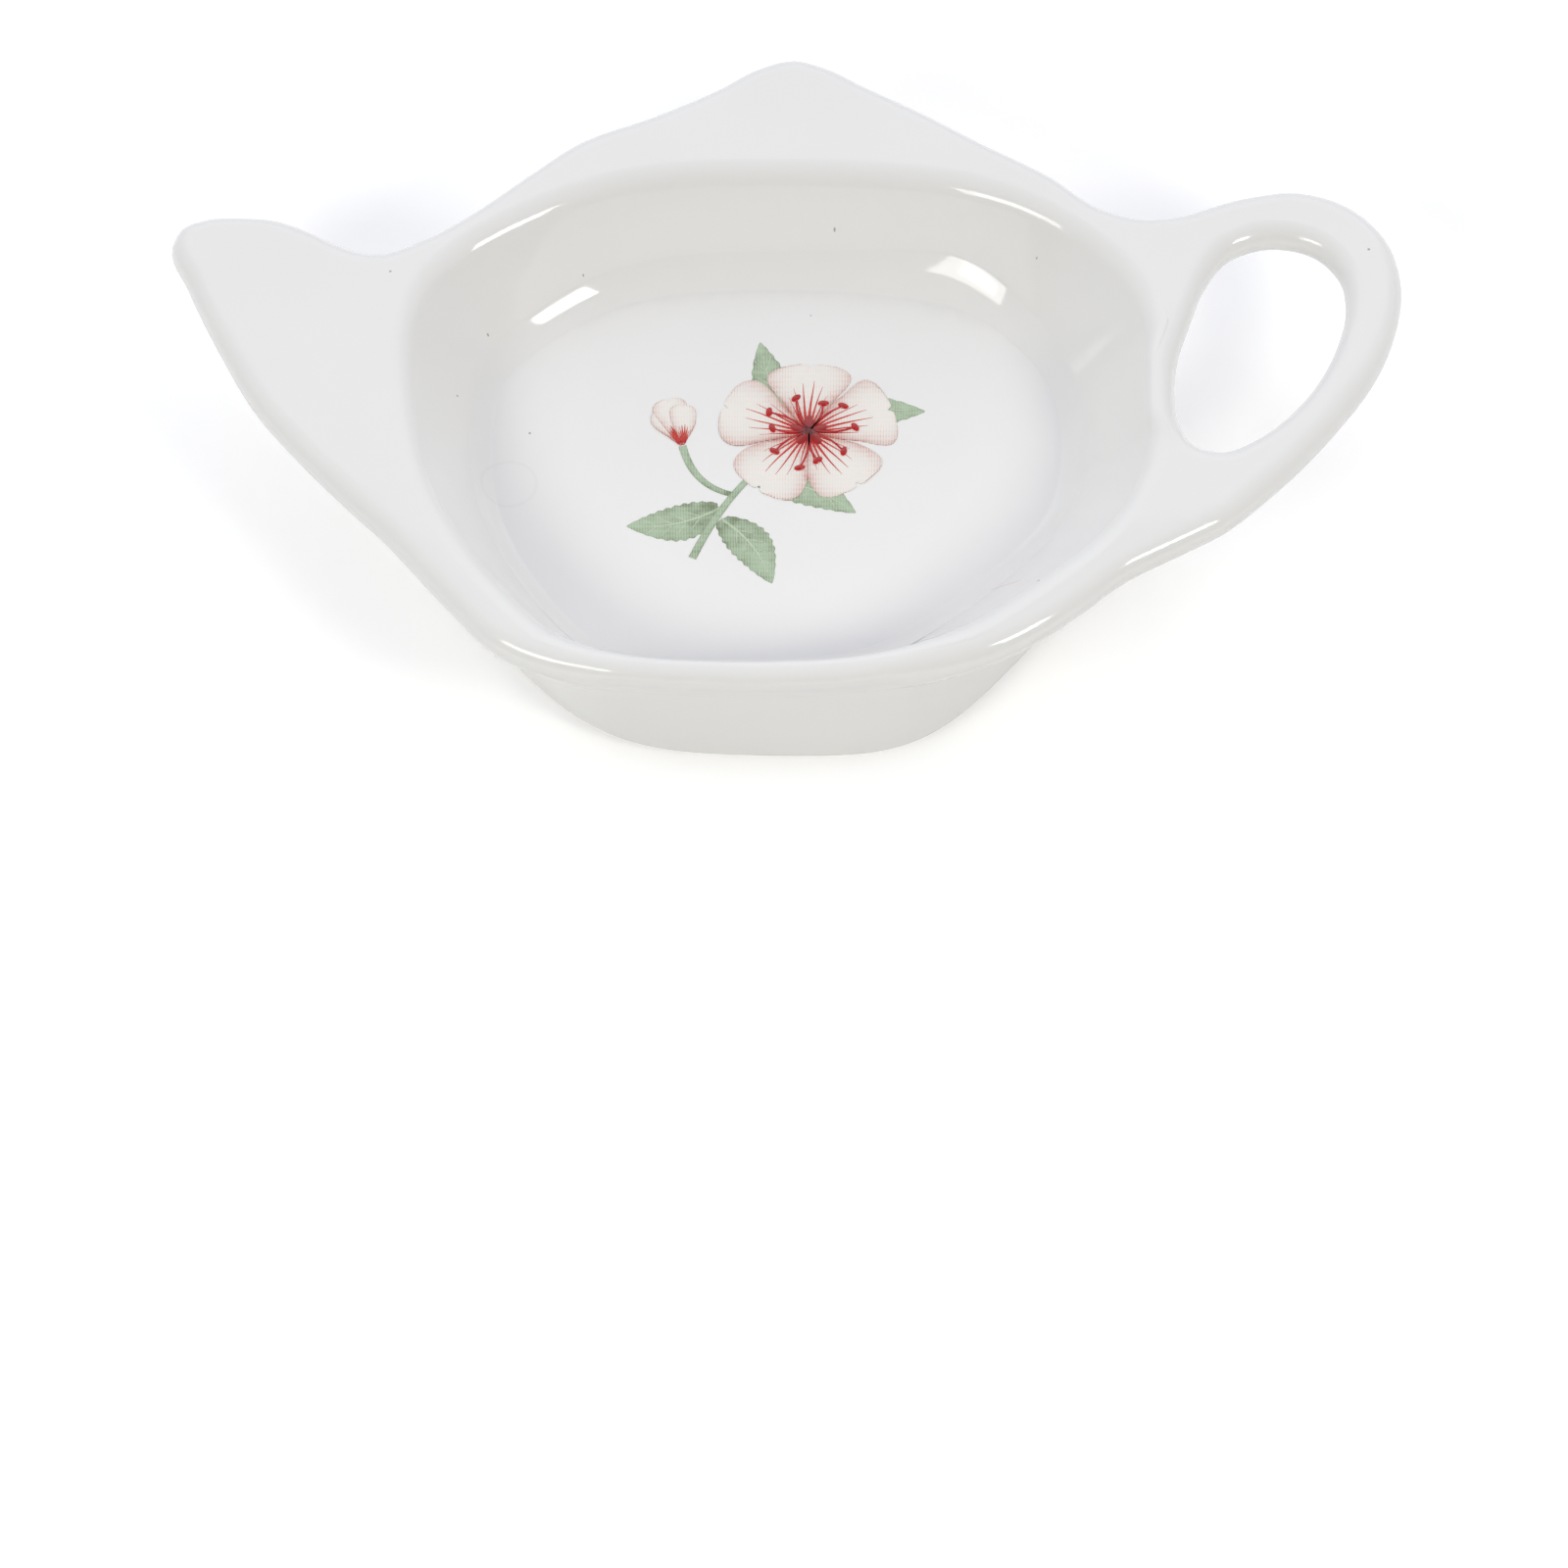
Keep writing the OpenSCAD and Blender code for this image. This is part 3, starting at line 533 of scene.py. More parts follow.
class Ink(Skin):
    """Thin closed shapes on the floor, with marks along and across each for its material."""

    def __init__(self):
        super().__init__()
        self.marks = []

    def lay(self, points, tops, marks):
        """Two points for each place: on the ink's top, and sunk in the glaze under it."""
        low = np.column_stack([points, np.full(len(points), FLOOR_Z - INK_SINK)])
        high = np.column_stack([points, FLOOR_Z + np.broadcast_to(tops, len(points))])
        self.marks += list(marks) * 2
        return self.ring(high), self.ring(low)

    def blade(self, points, tops, marks, rows, columns):
        """A closed sheet over a grid of points, row by row."""
        high, low = self.lay(points, tops, marks)
        for r in range(rows - 1):
            for c in range(columns - 1):
                a, b = r * columns + c, r * columns + c + 1
                quad = (a, b, b + columns, a + columns)
                self.faces.append(tuple(high[i] for i in quad))
                self.faces.append(tuple(low[i] for i in reversed(quad)))
        rim = list(range(columns)) + [r * columns + columns - 1 for r in range(1, rows)]
        rim += [(rows - 1) * columns + c for c in range(columns - 2, -1, -1)]
        rim += [r * columns for r in range(rows - 2, 0, -1)]
        self.band([high[i] for i in rim], [low[i] for i in rim])

    def disc(self, centre, outline, top):
        """A closed flat shape round its centre."""
        points = np.vstack([outline, [centre]])
        n = len(outline)
        high, low = self.lay(points, top, [(1, i / n) for i in range(n)] + [(0, 0)])
        for i in range(n):
            j = (i + 1) % n
            self.faces += [(high[i], high[j], high[n]), (low[j], low[i], low[n])]
        self.band(high[:n], low[:n])

    def ribbon(self, line, widths, tops):
        """A closed band along a line, with a width at each of its points."""
        ahead = np.gradient(line, axis=0)
        side = np.column_stack([-ahead[:, 1], ahead[:, 0]]) / np.linalg.norm(ahead, axis=1)[:, None]
        edge = side * np.asarray(widths)[:, None] / 2
        points = np.stack([line - edge, line, line + edge], 1).reshape(-1, 2)
        share = np.linspace(0, 1, len(line))
        marks = [(s, c) for s in share for c in (-1, 0, 1)]
        self.blade(points, np.repeat(np.broadcast_to(tops, len(line)), 3), marks, len(line), 3)

    def piece(self, name, material, node, slot):
        obj = mesh_object(name, self.points, self.faces, material)
        for column, mark in enumerate(("along", "across")):
            values = obj.data.attributes.new(mark, "FLOAT", "POINT").data
            values.foreach_set("value", [float(m[column]) for m in self.marks])
        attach(obj, "root")
        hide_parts(node)


def turned(points, degrees, at):
    """Points about the origin turned and moved to a place in the print."""
    a = math.radians(degrees)
    spin = np.array([(math.cos(a), math.sin(a)), (-math.sin(a), math.cos(a))])
    return np.asarray(points) @ spin + at + (PRINT_X, PRINT_Y)


def bend(three, t):
    """Points of a bend through three shares of the leaf length."""
    a, b, c = (np.array(p) * LEAF_L for p in three)
    t = np.atleast_1d(t)[:, None]
    return a * (1 - t) ** 2 + b * 2 * t * (1 - t) + c * t ** 2


def petal_half(share):
    """Half width of a petal along its length, as a share: widest near the round tip."""
    return share ** ROOT_POWER * np.sqrt(np.maximum(0, 1 - share ** TIP_POWER)) / CURVE_W


def petal_point(s, v, length, width, wave):
    """Place on a petal: along it, across it, with a notch at the tip and a waved outline."""
    notch = 1 - NOTCH * np.exp(-(v / NOTCH_W) ** 2)
    half = petal_half(s) * (1 + WAVE * np.sin(WAVE_TURN * s + wave)) * width / 2
    sway = SWAY * length * np.sin(SWAY_TURN * s + wave)
    return np.stack([s * length * notch, half * v + sway], -1)


def petal_top(v):
    return PETAL_TOP + PETAL_TILT * (np.asarray(v) + 1) / 2


def each_petal():
    """Direction, place, length, width, wave and share of streaks of each petal, with the bud's."""
    for i in range(PETALS):
        length = PETAL_L * PETAL_SIZES[i % len(PETAL_SIZES)]
        yield BLOSSOM_TURN + i * 360 / PETALS, BLOSSOM, length, PETAL_W, i, 1
    tip = bend(STALK, 1)[0]
    for turn, size in BUD_PETALS:
        yield BUD_DIR + turn, tip, BUD_L * size, BUD_W * BUD_NARROW * size, turn, BUD_STREAK


def shape_grid(start, rows, columns):
    """Places along and across a petal or a leaf, row by row."""
    grid = np.meshgrid(np.linspace(start, SHAPE_END, rows), np.linspace(-1, 1, columns), indexing="ij")
    return [g.ravel() for g in grid]


def print_petals(material):
    ink = Ink()
    along, across = shape_grid(PETAL_START, PETAL_ROWS, PETAL_COLUMNS)
    marks = list(zip(along, across))
    for degrees, at, length, width, wave, _ in each_petal():
        points = turned(petal_point(along, across, length, width, wave), degrees, at)
        ink.blade(points, petal_top(across), marks, PETAL_ROWS, PETAL_COLUMNS)
    ink.piece("print_petal_ink", material, "print_petals", "ink_petal")


def print_streaks(material):
    ink = Ink()
    for degrees, at, length, width, wave, reach in each_petal():
        for v, end, wide in STREAKS:
            s = np.linspace(STREAK_START, end * reach, STREAK_POINTS)
            line = petal_point(s, np.full(STREAK_POINTS, v), length, width, wave)
            taper = wide * np.linspace(*STREAK_TAPER, STREAK_POINTS)
            ink.ribbon(turned(line, degrees, at), taper, petal_top(v) + STREAK_TOP)
    ink.piece("print_streak_ink", material, "print_blush", "ink_blush")


def each_leaf():
    """Start, direction and length of each leaf."""
    for place, degrees, share in LEAVES:
        start = bend(STEM, place)[0] if place else np.array(BLOSSOM)
        yield start, degrees, LEAF_L * share


def leaf_line(s, length):
    return np.stack([s * length, LEAF_BOW * length * np.sin(math.pi * s)], -1)


def leaf_swell(s):
    """Swell of a leaf along its length, from 0 to 1, which its side veins follow."""
    return np.sin(math.pi * s ** LEAF_POWER)


def print_leaves(material):
    ink = Ink()
    along, across = shape_grid(LEAF_START, LEAF_ROWS, LEAF_COLUMNS)
    teeth = 1 + TOOTH * np.sin(TOOTH_TURN * along)
    half = LEAF_W / 2 * leaf_swell(along) ** LEAF_POWER * teeth
    marks = list(zip(along, across))
    for i, (start, degrees, length) in enumerate(each_leaf()):
        points = leaf_line(along, length) + np.column_stack([0 * across, half * across])
        top = LEAF_TOP - LEAF_STEP * i
        ink.blade(turned(points, degrees, start), top, marks, LEAF_ROWS, LEAF_COLUMNS)
    t = np.linspace(0, 1, STEM_POINTS)
    widths = STEM_W * (1 - STEM_TAPER * (1 - t))
    for three, step in ((STEM, STEM_STEP), (STALK, STALK_STEP)):
        ink.ribbon(bend(three, t) + (PRINT_X, PRINT_Y), widths, LEAF_TOP + step)
    ink.piece("print_leaf_ink", material, "print_leaves", "ink_leaf")


def print_veins(material):
    ink, t = Ink(), np.linspace(0, 1, VEIN_POINTS)
    middle, side = (VEIN_W * np.linspace(*taper, VEIN_POINTS) for taper in (MIDDLE_TAPER, SIDE_TAPER))
    for start, degrees, length in each_leaf():
        line = leaf_line(VEIN_START + VEIN_REACH * t, length)
        ink.ribbon(turned(line, degrees, start), middle, VEIN_TOP)
        for s in SIDE_VEINS:
            reach = SIDE_ACROSS * LEAF_W / 2 * leaf_swell(s)
            for across in (-reach, reach):
                line = leaf_line(s + SIDE_ALONG * t, length) + np.column_stack([0 * t, across * t])
                ink.ribbon(turned(line, degrees, start), side, VEIN_TOP - SIDE_VEIN_STEP)
    ink.piece("print_vein_ink", material, "print_leaf_veins", "ink_vein")


def print_throat(material):
    ink = Ink()
    turn = np.linspace(0, 360, THROAT_POINTS, endpoint=False)
    wave = np.cos(np.radians(PETALS * (turn - BLOSSOM_TURN)))
    outline = polar(turn, THROAT_R * (1 - THROAT_WAVE * (1 - wave)))
    ink.disc(turned((0, 0), 0, BLOSSOM), turned(outline, 0, BLOSSOM), THROAT_TOP)
    ink.piece("print_throat_ink", material, "print_throat", "ink_throat")


def print_stamens(material):
    """Two stamens to a petal: each a filament that bows to one side, with an anther at its tip."""
    ink, t = Ink(), np.linspace(0, 1, STAMEN_POINTS)
    ring = polar(np.linspace(0, 360, ANTHER_POINTS, endpoint=False), 1) * ANTHER_HALVES
    for i in range(2 * PETALS):
        degrees = BLOSSOM_TURN + (i + 0.5) * 180 / PETALS + STAMEN_TURNS[i % len(STAMEN_TURNS)]
        length = STAMEN_L * STAMEN_SIZES[i % len(STAMEN_SIZES)]
        bow = STAMEN_BOW * (0.5 - i % 2) * np.sin(math.pi * t)
        line = np.column_stack([STAMEN_START + t * (length - STAMEN_START), bow])
        line = turned(line, degrees, BLOSSOM)
        ink.ribbon(line, STAMEN_W * (1 - STAMEN_TAPER * t), STAMEN_TOP - FILAMENT_STEP)
        tip = line[-1]
        ink.disc(tip, turned(ring, degrees + ANTHER_TURN, tip - (PRINT_X, PRINT_Y)), STAMEN_TOP)
    ink.piece("print_stamen_ink", material, "print_stamens", "ink_stamen")


# Materials
# How far the two colours of a cloud lie from its middle tone
TONE_SPREAD = 0.15
# Gloss of the glaze, which covers the print too, its two tones, and its slow waves: scale and height
GLAZE_ROUGH, GLAZE_IOR = 0.06, 1.55
GLAZE_TONES = (0.889, 0.884, 0.867), (0.901, 0.896, 0.881)
GLAZE_CLOUD, GLAZE_WAVES, GLAZE_WAVE_H = 60, 140, 0.00004
# Pits and iron specks in the glaze: place about the basin's middle, and radius
SPECKS = [(24.8, -20.4, 0.2), (-38.6, 16, 0.15), (58.5, 18.9, 0.18), (-24.9, 4, 0.16),
          (-29.2, 13.9, 0.14), (-32, 6, 0.12), (-19.8, 21.4, 0.1), (5.5, 25.7, 0.14),
          (25.7, 20.9, 0.1), (3.1, 18.6, 0.1)]
# Faint ring left by a drop, as place, radius and width, and a rusty scratch from one end to another,
# with its width, how far its ends draw in and over which length they fade
RING_MARK = ((-26.8, -2.2), 2.7, 0.15)
SCRATCH, SCRATCH_IN, SCRATCH_FADE = ((20.5, -15.8), (23.4, -17.5), 0.22), 0.5, 0.6
# How strongly each fault tints the glaze, and its colour
RING_TINT = 0.16, (0.74, 0.73, 0.72)
SCRATCH_TINT = 0.34, (0.78, 0.52, 0.33)
SPECK_TINT = 0.6, (0.12, 0.10, 0.08)
# Bare fired clay: its two tones, their cloud, and its grain: scale and height
BARE_ROUGH, BARE_GLOSS = 0.75, 0.3
BARE_TONES = (0.70, 0.66, 0.59), (0.84, 0.81, 0.75)
BARE_CLOUD, BARE_GRAIN, BARE_GRAIN_H = 400, 4000, 0.00003
# Dots of the print: pitch in metres and how sharp their edges are
DOT_PITCH, DOT_EDGE = 0.0003, 4.0
# Tone under the dots: darker shade of it, its cloud, how much a cloud changes the dots, and the
# power with which they thin out from a shape's start and sides
PAPER_SHADE, INK_CLOUD, CLOUD_GAIN, INK_FALL = 0.94, 900, 3, 3


def new_material(name):
    m = bpy.data.materials.new(name)
    m.use_nodes = True
    nodes = m.node_tree.nodes
    return m, nodes, m.node_tree.links, nodes["Principled BSDF"]


def add(nodes, kind, **values):
    """A node with some of its properties and input values set by name."""
    node = nodes.new("ShaderNode" + kind)
    for name, value in values.items():
        if hasattr(node, name):
            setattr(node, name, value)
        else:
            node.inputs[name.replace("_", " ")].default_value = value
    return node


def two_tones(nodes, links, scale, detail, low, high):
    """Soft clouds between two colours, and the coordinates they lie in."""
    coords = add(nodes, "TexCoord")
    cloud = add(nodes, "TexNoise", Scale=scale, Detail=detail)
    tint = add(nodes, "ValToRGB")
    for element, side, colour in zip(tint.color_ramp.elements, (-1, 1), (low, high)):
        element.position = 0.5 + side * TONE_SPREAD
        element.color = (*colour, 1)
    links.new(coords.outputs["Object"], cloud.inputs["Vector"])
    links.new(cloud.outputs["Fac"], tint.inputs["Fac"])
    return coords, cloud, tint


def bump(nodes, links, shader, height, distance):
    node = add(nodes, "Bump", Distance=distance)
    links.new(height, node.inputs["Height"])
    links.new(node.outputs[0], shader.inputs["Normal"])


def combine(nodes, links, kind, a, b):
    """A math node over two values, each a socket or a number."""
    node = nodes.new("ShaderNodeMath")
    node.operation = kind
    for socket, value in zip(node.inputs, (a, b)):
        if isinstance(value, (int, float)):
            socket.default_value = value
        else:
            links.new(value, socket)
    return node.outputs[0]


def flat_distance(nodes, links, place, point):
    """Level distance in millimetres of a place on the glaze from a point of the tables."""
    away = add(nodes, "VectorMath", operation="SUBTRACT")
    links.new(place, away.inputs[0])
    away.inputs[1].default_value = put((*point, 0))
    level = add(nodes, "VectorMath", operation="MULTIPLY")
    links.new(away.outputs[0], level.inputs[0])
    level.inputs[1].default_value = (1 / MM, 1 / MM, 0)
    return level.outputs[0]


def vector_length(nodes, links, vector):
    length = add(nodes, "VectorMath", operation="LENGTH")
    links.new(vector, length.inputs[0])
    return length.outputs["Value"]


def near(nodes, links, distance, radius, soft):
    """1 within a radius, fading to 0 over a soft edge."""
    fall = add(nodes, "MapRange", From_Min=radius, From_Max=radius + soft, To_Min=1.0, To_Max=0.0)
    links.new(distance, fall.inputs["Value"])
    return fall.outputs["Result"]


def blemishes(nodes, links, place):
    """How much of each small fault there is at a place: specks, the ring mark and the scratch."""
    specks = 0.0
    for x, y, radius in SPECKS:
        far = vector_length(nodes, links, flat_distance(nodes, links, place, (x, y)))
        specks = combine(nodes, links, "MAXIMUM", near(nodes, links, far, radius / 2, radius / 2), specks)
    centre, radius, width = RING_MARK
    far = vector_length(nodes, links, flat_distance(nodes, links, place, centre))
    off = combine(nodes, links, "ABSOLUTE", combine(nodes, links, "SUBTRACT", far, radius), 0)
    ring = near(nodes, links, off, width / 2, width)
    start, end, width = SCRATCH
    total = math.dist(start, end)
    half = total / 2 - SCRATCH_IN
    lead = [(end[i] - start[i]) / total for i in (0, 1)]
    middle = [(end[i] + start[i]) / 2 for i in (0, 1)]
    away = flat_distance(nodes, links, place, middle)
    along, side = (add(nodes, "VectorMath", operation="DOT_PRODUCT") for _ in range(2))
    for node, axis in ((along, (*lead, 0)), (side, (-lead[1], lead[0], 0))):
        links.new(away, node.inputs[0])
        node.inputs[1].default_value = axis
    parts = [combine(nodes, links, "ABSOLUTE", n.outputs["Value"], 0) for n in (along, side)]
    scratch = combine(nodes, links, "MULTIPLY", near(nodes, links, parts[0], half, SCRATCH_FADE),
                      near(nodes, links, parts[1], width / 3, width))
    return specks, ring, scratch


def tinted(nodes, links, colour, amount, share, tint):
    """A colour with a tint laid over it where a fault is."""
    mix = add(nodes, "Mix", data_type="RGBA")
    links.new(combine(nodes, links, "MULTIPLY", amount, share), mix.inputs["Factor"])
    links.new(colour, mix.inputs[6])
    mix.inputs[7].default_value = (*tint, 1)
    return mix.outputs[2]


def glaze_material():
    """White glaze: clouds between two near tones, slow waves, and a few small faults."""
    m, nodes, links, shader = new_material("glaze")
    coords, _, tint = two_tones(nodes, links, GLAZE_CLOUD, 3, *GLAZE_TONES)
    place = coords.outputs["Object"]
    specks, ring, scratch = blemishes(nodes, links, place)
    colour = tinted(nodes, links, tint.outputs["Color"], ring, *RING_TINT)
    colour = tinted(nodes, links, colour, scratch, *SCRATCH_TINT)
    colour = tinted(nodes, links, colour, specks, *SPECK_TINT)
    links.new(colour, shader.inputs["Base Color"])
    wave = add(nodes, "TexNoise", Scale=GLAZE_WAVES, Detail=1)
    links.new(place, wave.inputs["Vector"])
    bump(nodes, links, shader, wave.outputs["Fac"], GLAZE_WAVE_H)
    shader.inputs["Roughness"].default_value = GLAZE_ROUGH
    shader.inputs["IOR"].default_value = GLAZE_IOR
    return m


def biscuit_material():
    """Bare fired clay, matt and grainy."""
    m, nodes, links, shader = new_material("biscuit")
    coords, _, tint = two_tones(nodes, links, BARE_CLOUD, 5, *BARE_TONES)
    links.new(tint.outputs["Color"], shader.inputs["Base Color"])
    grain = add(nodes, "TexNoise", Scale=BARE_GRAIN, Detail=2)
    links.new(coords.outputs["Object"], grain.inputs["Vector"])
    bump(nodes, links, shader, grain.outputs["Fac"], BARE_GRAIN_H)
    shader.inputs["Roughness"].default_value = BARE_ROUGH
    shader.inputs["Specular IOR Level"].default_value = BARE_GLOSS
    return m


def halftone(nodes, links, tone):
    """Share of ink at a place: round dots in a turned grid that grow with the tone."""
    split = nodes.new("ShaderNodeSeparateXYZ")
    links.new(add(nodes, "TexCoord").outputs["Object"], split.inputs[0])
    x, y = (combine(nodes, links, "MULTIPLY", split.outputs[i], math.tau / DOT_PITCH) for i in (0, 1))
    waves = [combine(nodes, links, "SINE", combine(nodes, links, kind, x, y), 0)
             for kind in ("ADD", "SUBTRACT")]
    grid = combine(nodes, links, "MULTIPLY", combine(nodes, links, "MULTIPLY", *waves), 0.5)
    over = combine(nodes, links, "SUBTRACT", combine(nodes, links, "SUBTRACT", tone, grid), 0.5)
    dots = combine(nodes, links, "ADD", combine(nodes, links, "MULTIPLY", over, DOT_EDGE), 0.5)
    dots.node.use_clamp = True
    return dots


def ink_material(name, paper, ink, base, near_start, at_sides, cloud_share):
    """Ink in dots over a paler tone: denser by cloud, near its start and at its sides."""
    m, nodes, links, shader = new_material(name)
    along, across = (add(nodes, "Attribute", attribute_name=mark) for mark in ("along", "across"))
    shade = [PAPER_SHADE * c for c in paper]
    _, noise, tint = two_tones(nodes, links, INK_CLOUD, 3, shade, paper)
    start = combine(nodes, links, "SUBTRACT", 1, along.outputs["Fac"])
    start = combine(nodes, links, "POWER", start, INK_FALL)
    side = combine(nodes, links, "ABSOLUTE", across.outputs["Fac"], 0)
    side = combine(nodes, links, "POWER", side, INK_FALL)
    drift = combine(nodes, links, "SUBTRACT", noise.outputs["Fac"], 0.5)
    tone = combine(nodes, links, "MULTIPLY", start, near_start)
    for value, share in ((side, at_sides), (drift, CLOUD_GAIN * cloud_share)):
        tone = combine(nodes, links, "ADD", tone, combine(nodes, links, "MULTIPLY", value, share))
    dots = halftone(nodes, links, combine(nodes, links, "ADD", tone, base))
    mix = add(nodes, "Mix", data_type="RGBA")
    links.new(dots, mix.inputs["Factor"])
    links.new(tint.outputs["Color"], mix.inputs[6])
    mix.inputs[7].default_value = (*ink, 1)
    links.new(mix.outputs[2], shader.inputs["Base Color"])
    shader.inputs["Roughness"].default_value = GLAZE_ROUGH
    shader.inputs["IOR"].default_value = GLAZE_IOR
    return m


# Stage
# Camera: lens and sensor in millimetres, the place it looks at, its height as an angle over the
# table, its distance in millimetres, and the nearest and farthest that it sees in metres
LENS, SENSOR, LOOK_AT, CAMERA_ANGLE, CAMERA_FAR = 135, 36, (0.4, -43.496, 15.0), 57.7, 551.5
CAMERA_NEAREST, CAMERA_FARTHEST = 0.01, 20
# White floor: its tone in plain light, what it adds where it is seen, and its size in metres
FLOOR_TONE, FLOOR_GLOW, FLOOR_SIZE = 0.85, 0.35, 12.0
# Colours of the world straight up, at the horizon, and what its front and back add
WORLD_UP, WORLD_SIDE = (0.041, 0.038, 0.08), (0.062, 0.058, 0.05)
WORLD_FRONT, WORLD_BACK = (0, 0, 0), (0.90, 0.925, 0.96)
# Soft boxes: name, direction, distance and size in metres, how bright they look, and colour. Each
# of the two at the front has a brighter core.
LEFT, RIGHT = (-0.52, -0.598, 0.61), (0.64, -0.465, 0.61)
LAMPS = [("overhead", (0, 0.755, 0.656), 1.0, (1.2, 0.7), 0.465, (0.94, 0.92, 1)),
         ("left_soft", LEFT, 0.90, (0.5, 0.25), 5.2, (1, 0.995, 0.945)),
         ("left_core", LEFT, 0.89, (0.32, 0.13), 3.8, (1, 0.985, 0.77)),
         ("right_soft", RIGHT, 0.90, (0.22, 0.22), 10.2, (1, 0.97, 0.93)),
         ("right_core", RIGHT, 0.89, (0.13, 0.12), 7.6, (1, 0.98, 0.62))]


def area_lamp(name, direction_to, distance, size, radiance, colour):
    """A soft box that faces the basin from a direction; radiance is how bright it looks."""
    data = bpy.data.lights.new(name, "AREA")
    data.shape = "RECTANGLE"
    data.size, data.size_y = size
    data.energy = radiance * math.pi * size[0] * size[1]
    data.color = colour
    lamp = bpy.data.objects.new(name, data)
    lamp.location = Vector(direction_to).normalized() * distance
    lamp.rotation_mode = "QUATERNION"
    lamp.rotation_quaternion = lamp.location.to_track_quat("Z", "Y")
    bpy.context.scene.collection.objects.link(lamp)


def seen_directly(nodes, links):
    """1 for what the camera sees, straight, in a gloss or through glass, and 0 for plain light."""
    path = nodes.new("ShaderNodeLightPath")
    total = path.outputs["Is Camera Ray"]
    for name in ("Is Glossy Ray", "Is Transmission Ray"):
        either = nodes.new("ShaderNodeMath")
        either.operation = "MAXIMUM"
        links.new(total, either.inputs[0])
        links.new(path.outputs[name], either.inputs[1])
        total = either.outputs[0]
    return total


def floor_plane():
    """A wide white floor that takes the object's shadow."""
    m, nodes, links, shader = new_material("floor_white")
    nodes.remove(shader)
    matt = nodes.new("ShaderNodeBsdfDiffuse")
    matt.inputs["Color"].default_value = (FLOOR_TONE, FLOOR_TONE, FLOOR_TONE, 1)
    glow = nodes.new("ShaderNodeEmission")
    strength = nodes.new("ShaderNodeMath")
    strength.operation = "MULTIPLY"
    strength.inputs[1].default_value = FLOOR_GLOW
    both = nodes.new("ShaderNodeAddShader")
    links.new(seen_directly(nodes, links), strength.inputs[0])
    links.new(strength.outputs[0], glow.inputs["Strength"])
    links.new(matt.outputs[0], both.inputs[0])
    links.new(glow.outputs[0], both.inputs[1])
    links.new(both.outputs[0], nodes["Material Output"].inputs["Surface"])
    mesh = bpy.data.meshes.new("floor")
    far = FLOOR_SIZE / 2
    mesh.from_pydata([(-far, -far, 0), (far, -far, 0), (far, far, 0), (-far, far, 0)],
                     [], [(0, 1, 2, 3)])
    mesh.materials.append(m)
    floor = bpy.data.objects.new("floor", mesh)
    bpy.context.scene.collection.objects.link(floor)


def sky_part(nodes, links, name, value, low, high):
    """A background that changes from one colour to another as a value goes from 0 to 1."""
    ramp = nodes.new("ShaderNodeValToRGB")
    ramp.name = name
    ramp.color_ramp.elements[0].color = (*low, 1)
    ramp.color_ramp.elements[1].color = (*high, 1)
    part = nodes.new("ShaderNodeBackground")
    links.new(value, ramp.inputs["Fac"])
    links.new(ramp.outputs["Color"], part.inputs["Color"])
    return part.outputs[0]


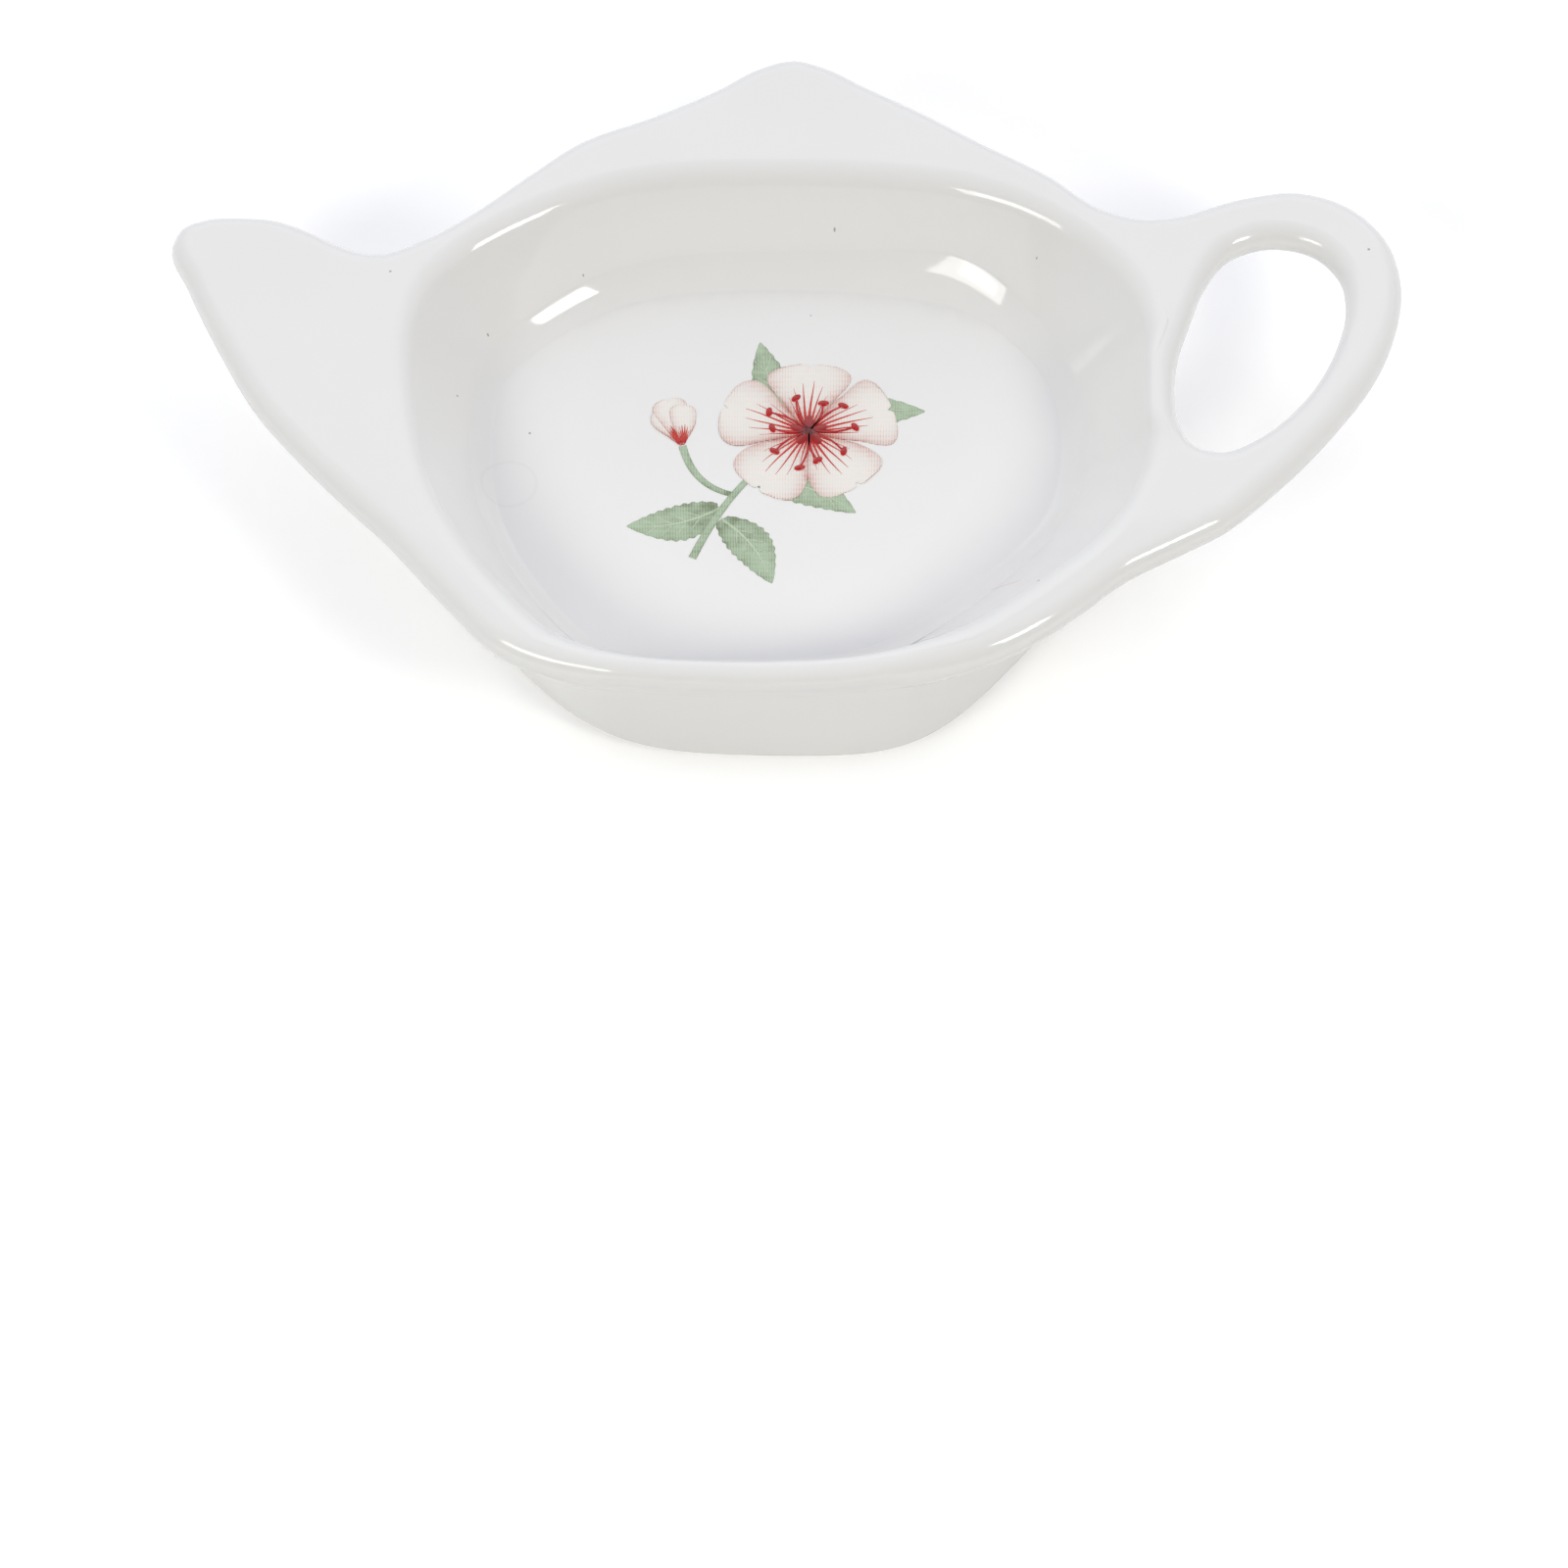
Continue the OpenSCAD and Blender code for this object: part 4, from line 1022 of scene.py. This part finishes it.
def world_light():
    """Soft light that changes from the horizon to the zenith and from front to back."""
    world = bpy.data.worlds.new("studio")
    world.use_nodes = True
    nodes, links = world.node_tree.nodes, world.node_tree.links
    nodes.remove(nodes["Background"])
    coords = nodes.new("ShaderNodeTexCoord")
    split = nodes.new("ShaderNodeSeparateXYZ")
    links.new(coords.outputs["Generated"], split.inputs[0])
    deep = nodes.new("ShaderNodeMapRange")
    deep.inputs["From Min"].default_value = -1
    links.new(split.outputs["Y"], deep.inputs["Value"])
    both = nodes.new("ShaderNodeAddShader")
    links.new(sky_part(nodes, links, "rise", split.outputs["Z"], WORLD_SIDE, WORLD_UP), both.inputs[0])
    links.new(sky_part(nodes, links, "depth", deep.outputs[0], WORLD_FRONT, WORLD_BACK), both.inputs[1])
    links.new(both.outputs[0], nodes["World Output"].inputs["Surface"])
    bpy.context.scene.world = world


def camera():
    """The view of the photo, from the front and above."""
    data = bpy.data.cameras.new("camera")
    data.lens, data.sensor_width = LENS, SENSOR
    data.clip_start, data.clip_end = CAMERA_NEAREST, CAMERA_FARTHEST
    cam = bpy.data.objects.new("camera", data)
    tilt = math.radians(CAMERA_ANGLE)
    back = Vector((0, -math.cos(tilt), math.sin(tilt)))
    cam.location = Vector(put(LOOK_AT)) + back * CAMERA_FAR * MM
    cam.rotation_mode = "QUATERNION"
    cam.rotation_quaternion = (-back).to_track_quat("-Z", "Y")
    bpy.context.scene.collection.objects.link(cam)
    bpy.context.scene.camera = cam


# Each ink: what prints it, its name, colours of its paler tone and its dots, then how dense the dots
# are everywhere, more near the start, more at the sides, and with the cloud
INKS = [
    (print_leaves, "leaf_print", (0.52, 0.66, 0.47), (0.12, 0.15, 0.06), 0.28, 0.35, 0.15, 0.3),
    (print_veins, "vein_print", (0.62, 0.74, 0.55), (0.20, 0.28, 0.14), 0.1, 0.3, 0.1, 0.2),
    (print_petals, "petal_print", (0.94, 0.91, 0.85), (0.50, 0.09, 0.05), 0.01, 0.9, 0.4, 0.15),
    (print_streaks, "streak_print", (0.78, 0.10, 0.06), (0.56, 0.006, 0.004), 0.5, 0.7, 0, 0.2),
    (print_throat, "throat_print", (0.42, 0.006, 0.004), (0.05, 0.003, 0.003), 0.25, 0.7, 0, 0.2),
    (print_stamens, "stamen_print", (0.60, 0.006, 0.004), (0.09, 0.003, 0.003), 0.1, 0.8, 0, 0.2),
]

camera()
floor_plane()
world_light()
for lamp in LAMPS:
    area_lamp(*lamp)
porcelain_skin(glaze_material())
foot_ring(biscuit_material())
for draw, *look in INKS:
    draw(ink_material(*look))
bpy.context.scene.view_settings.view_transform = "Standard"
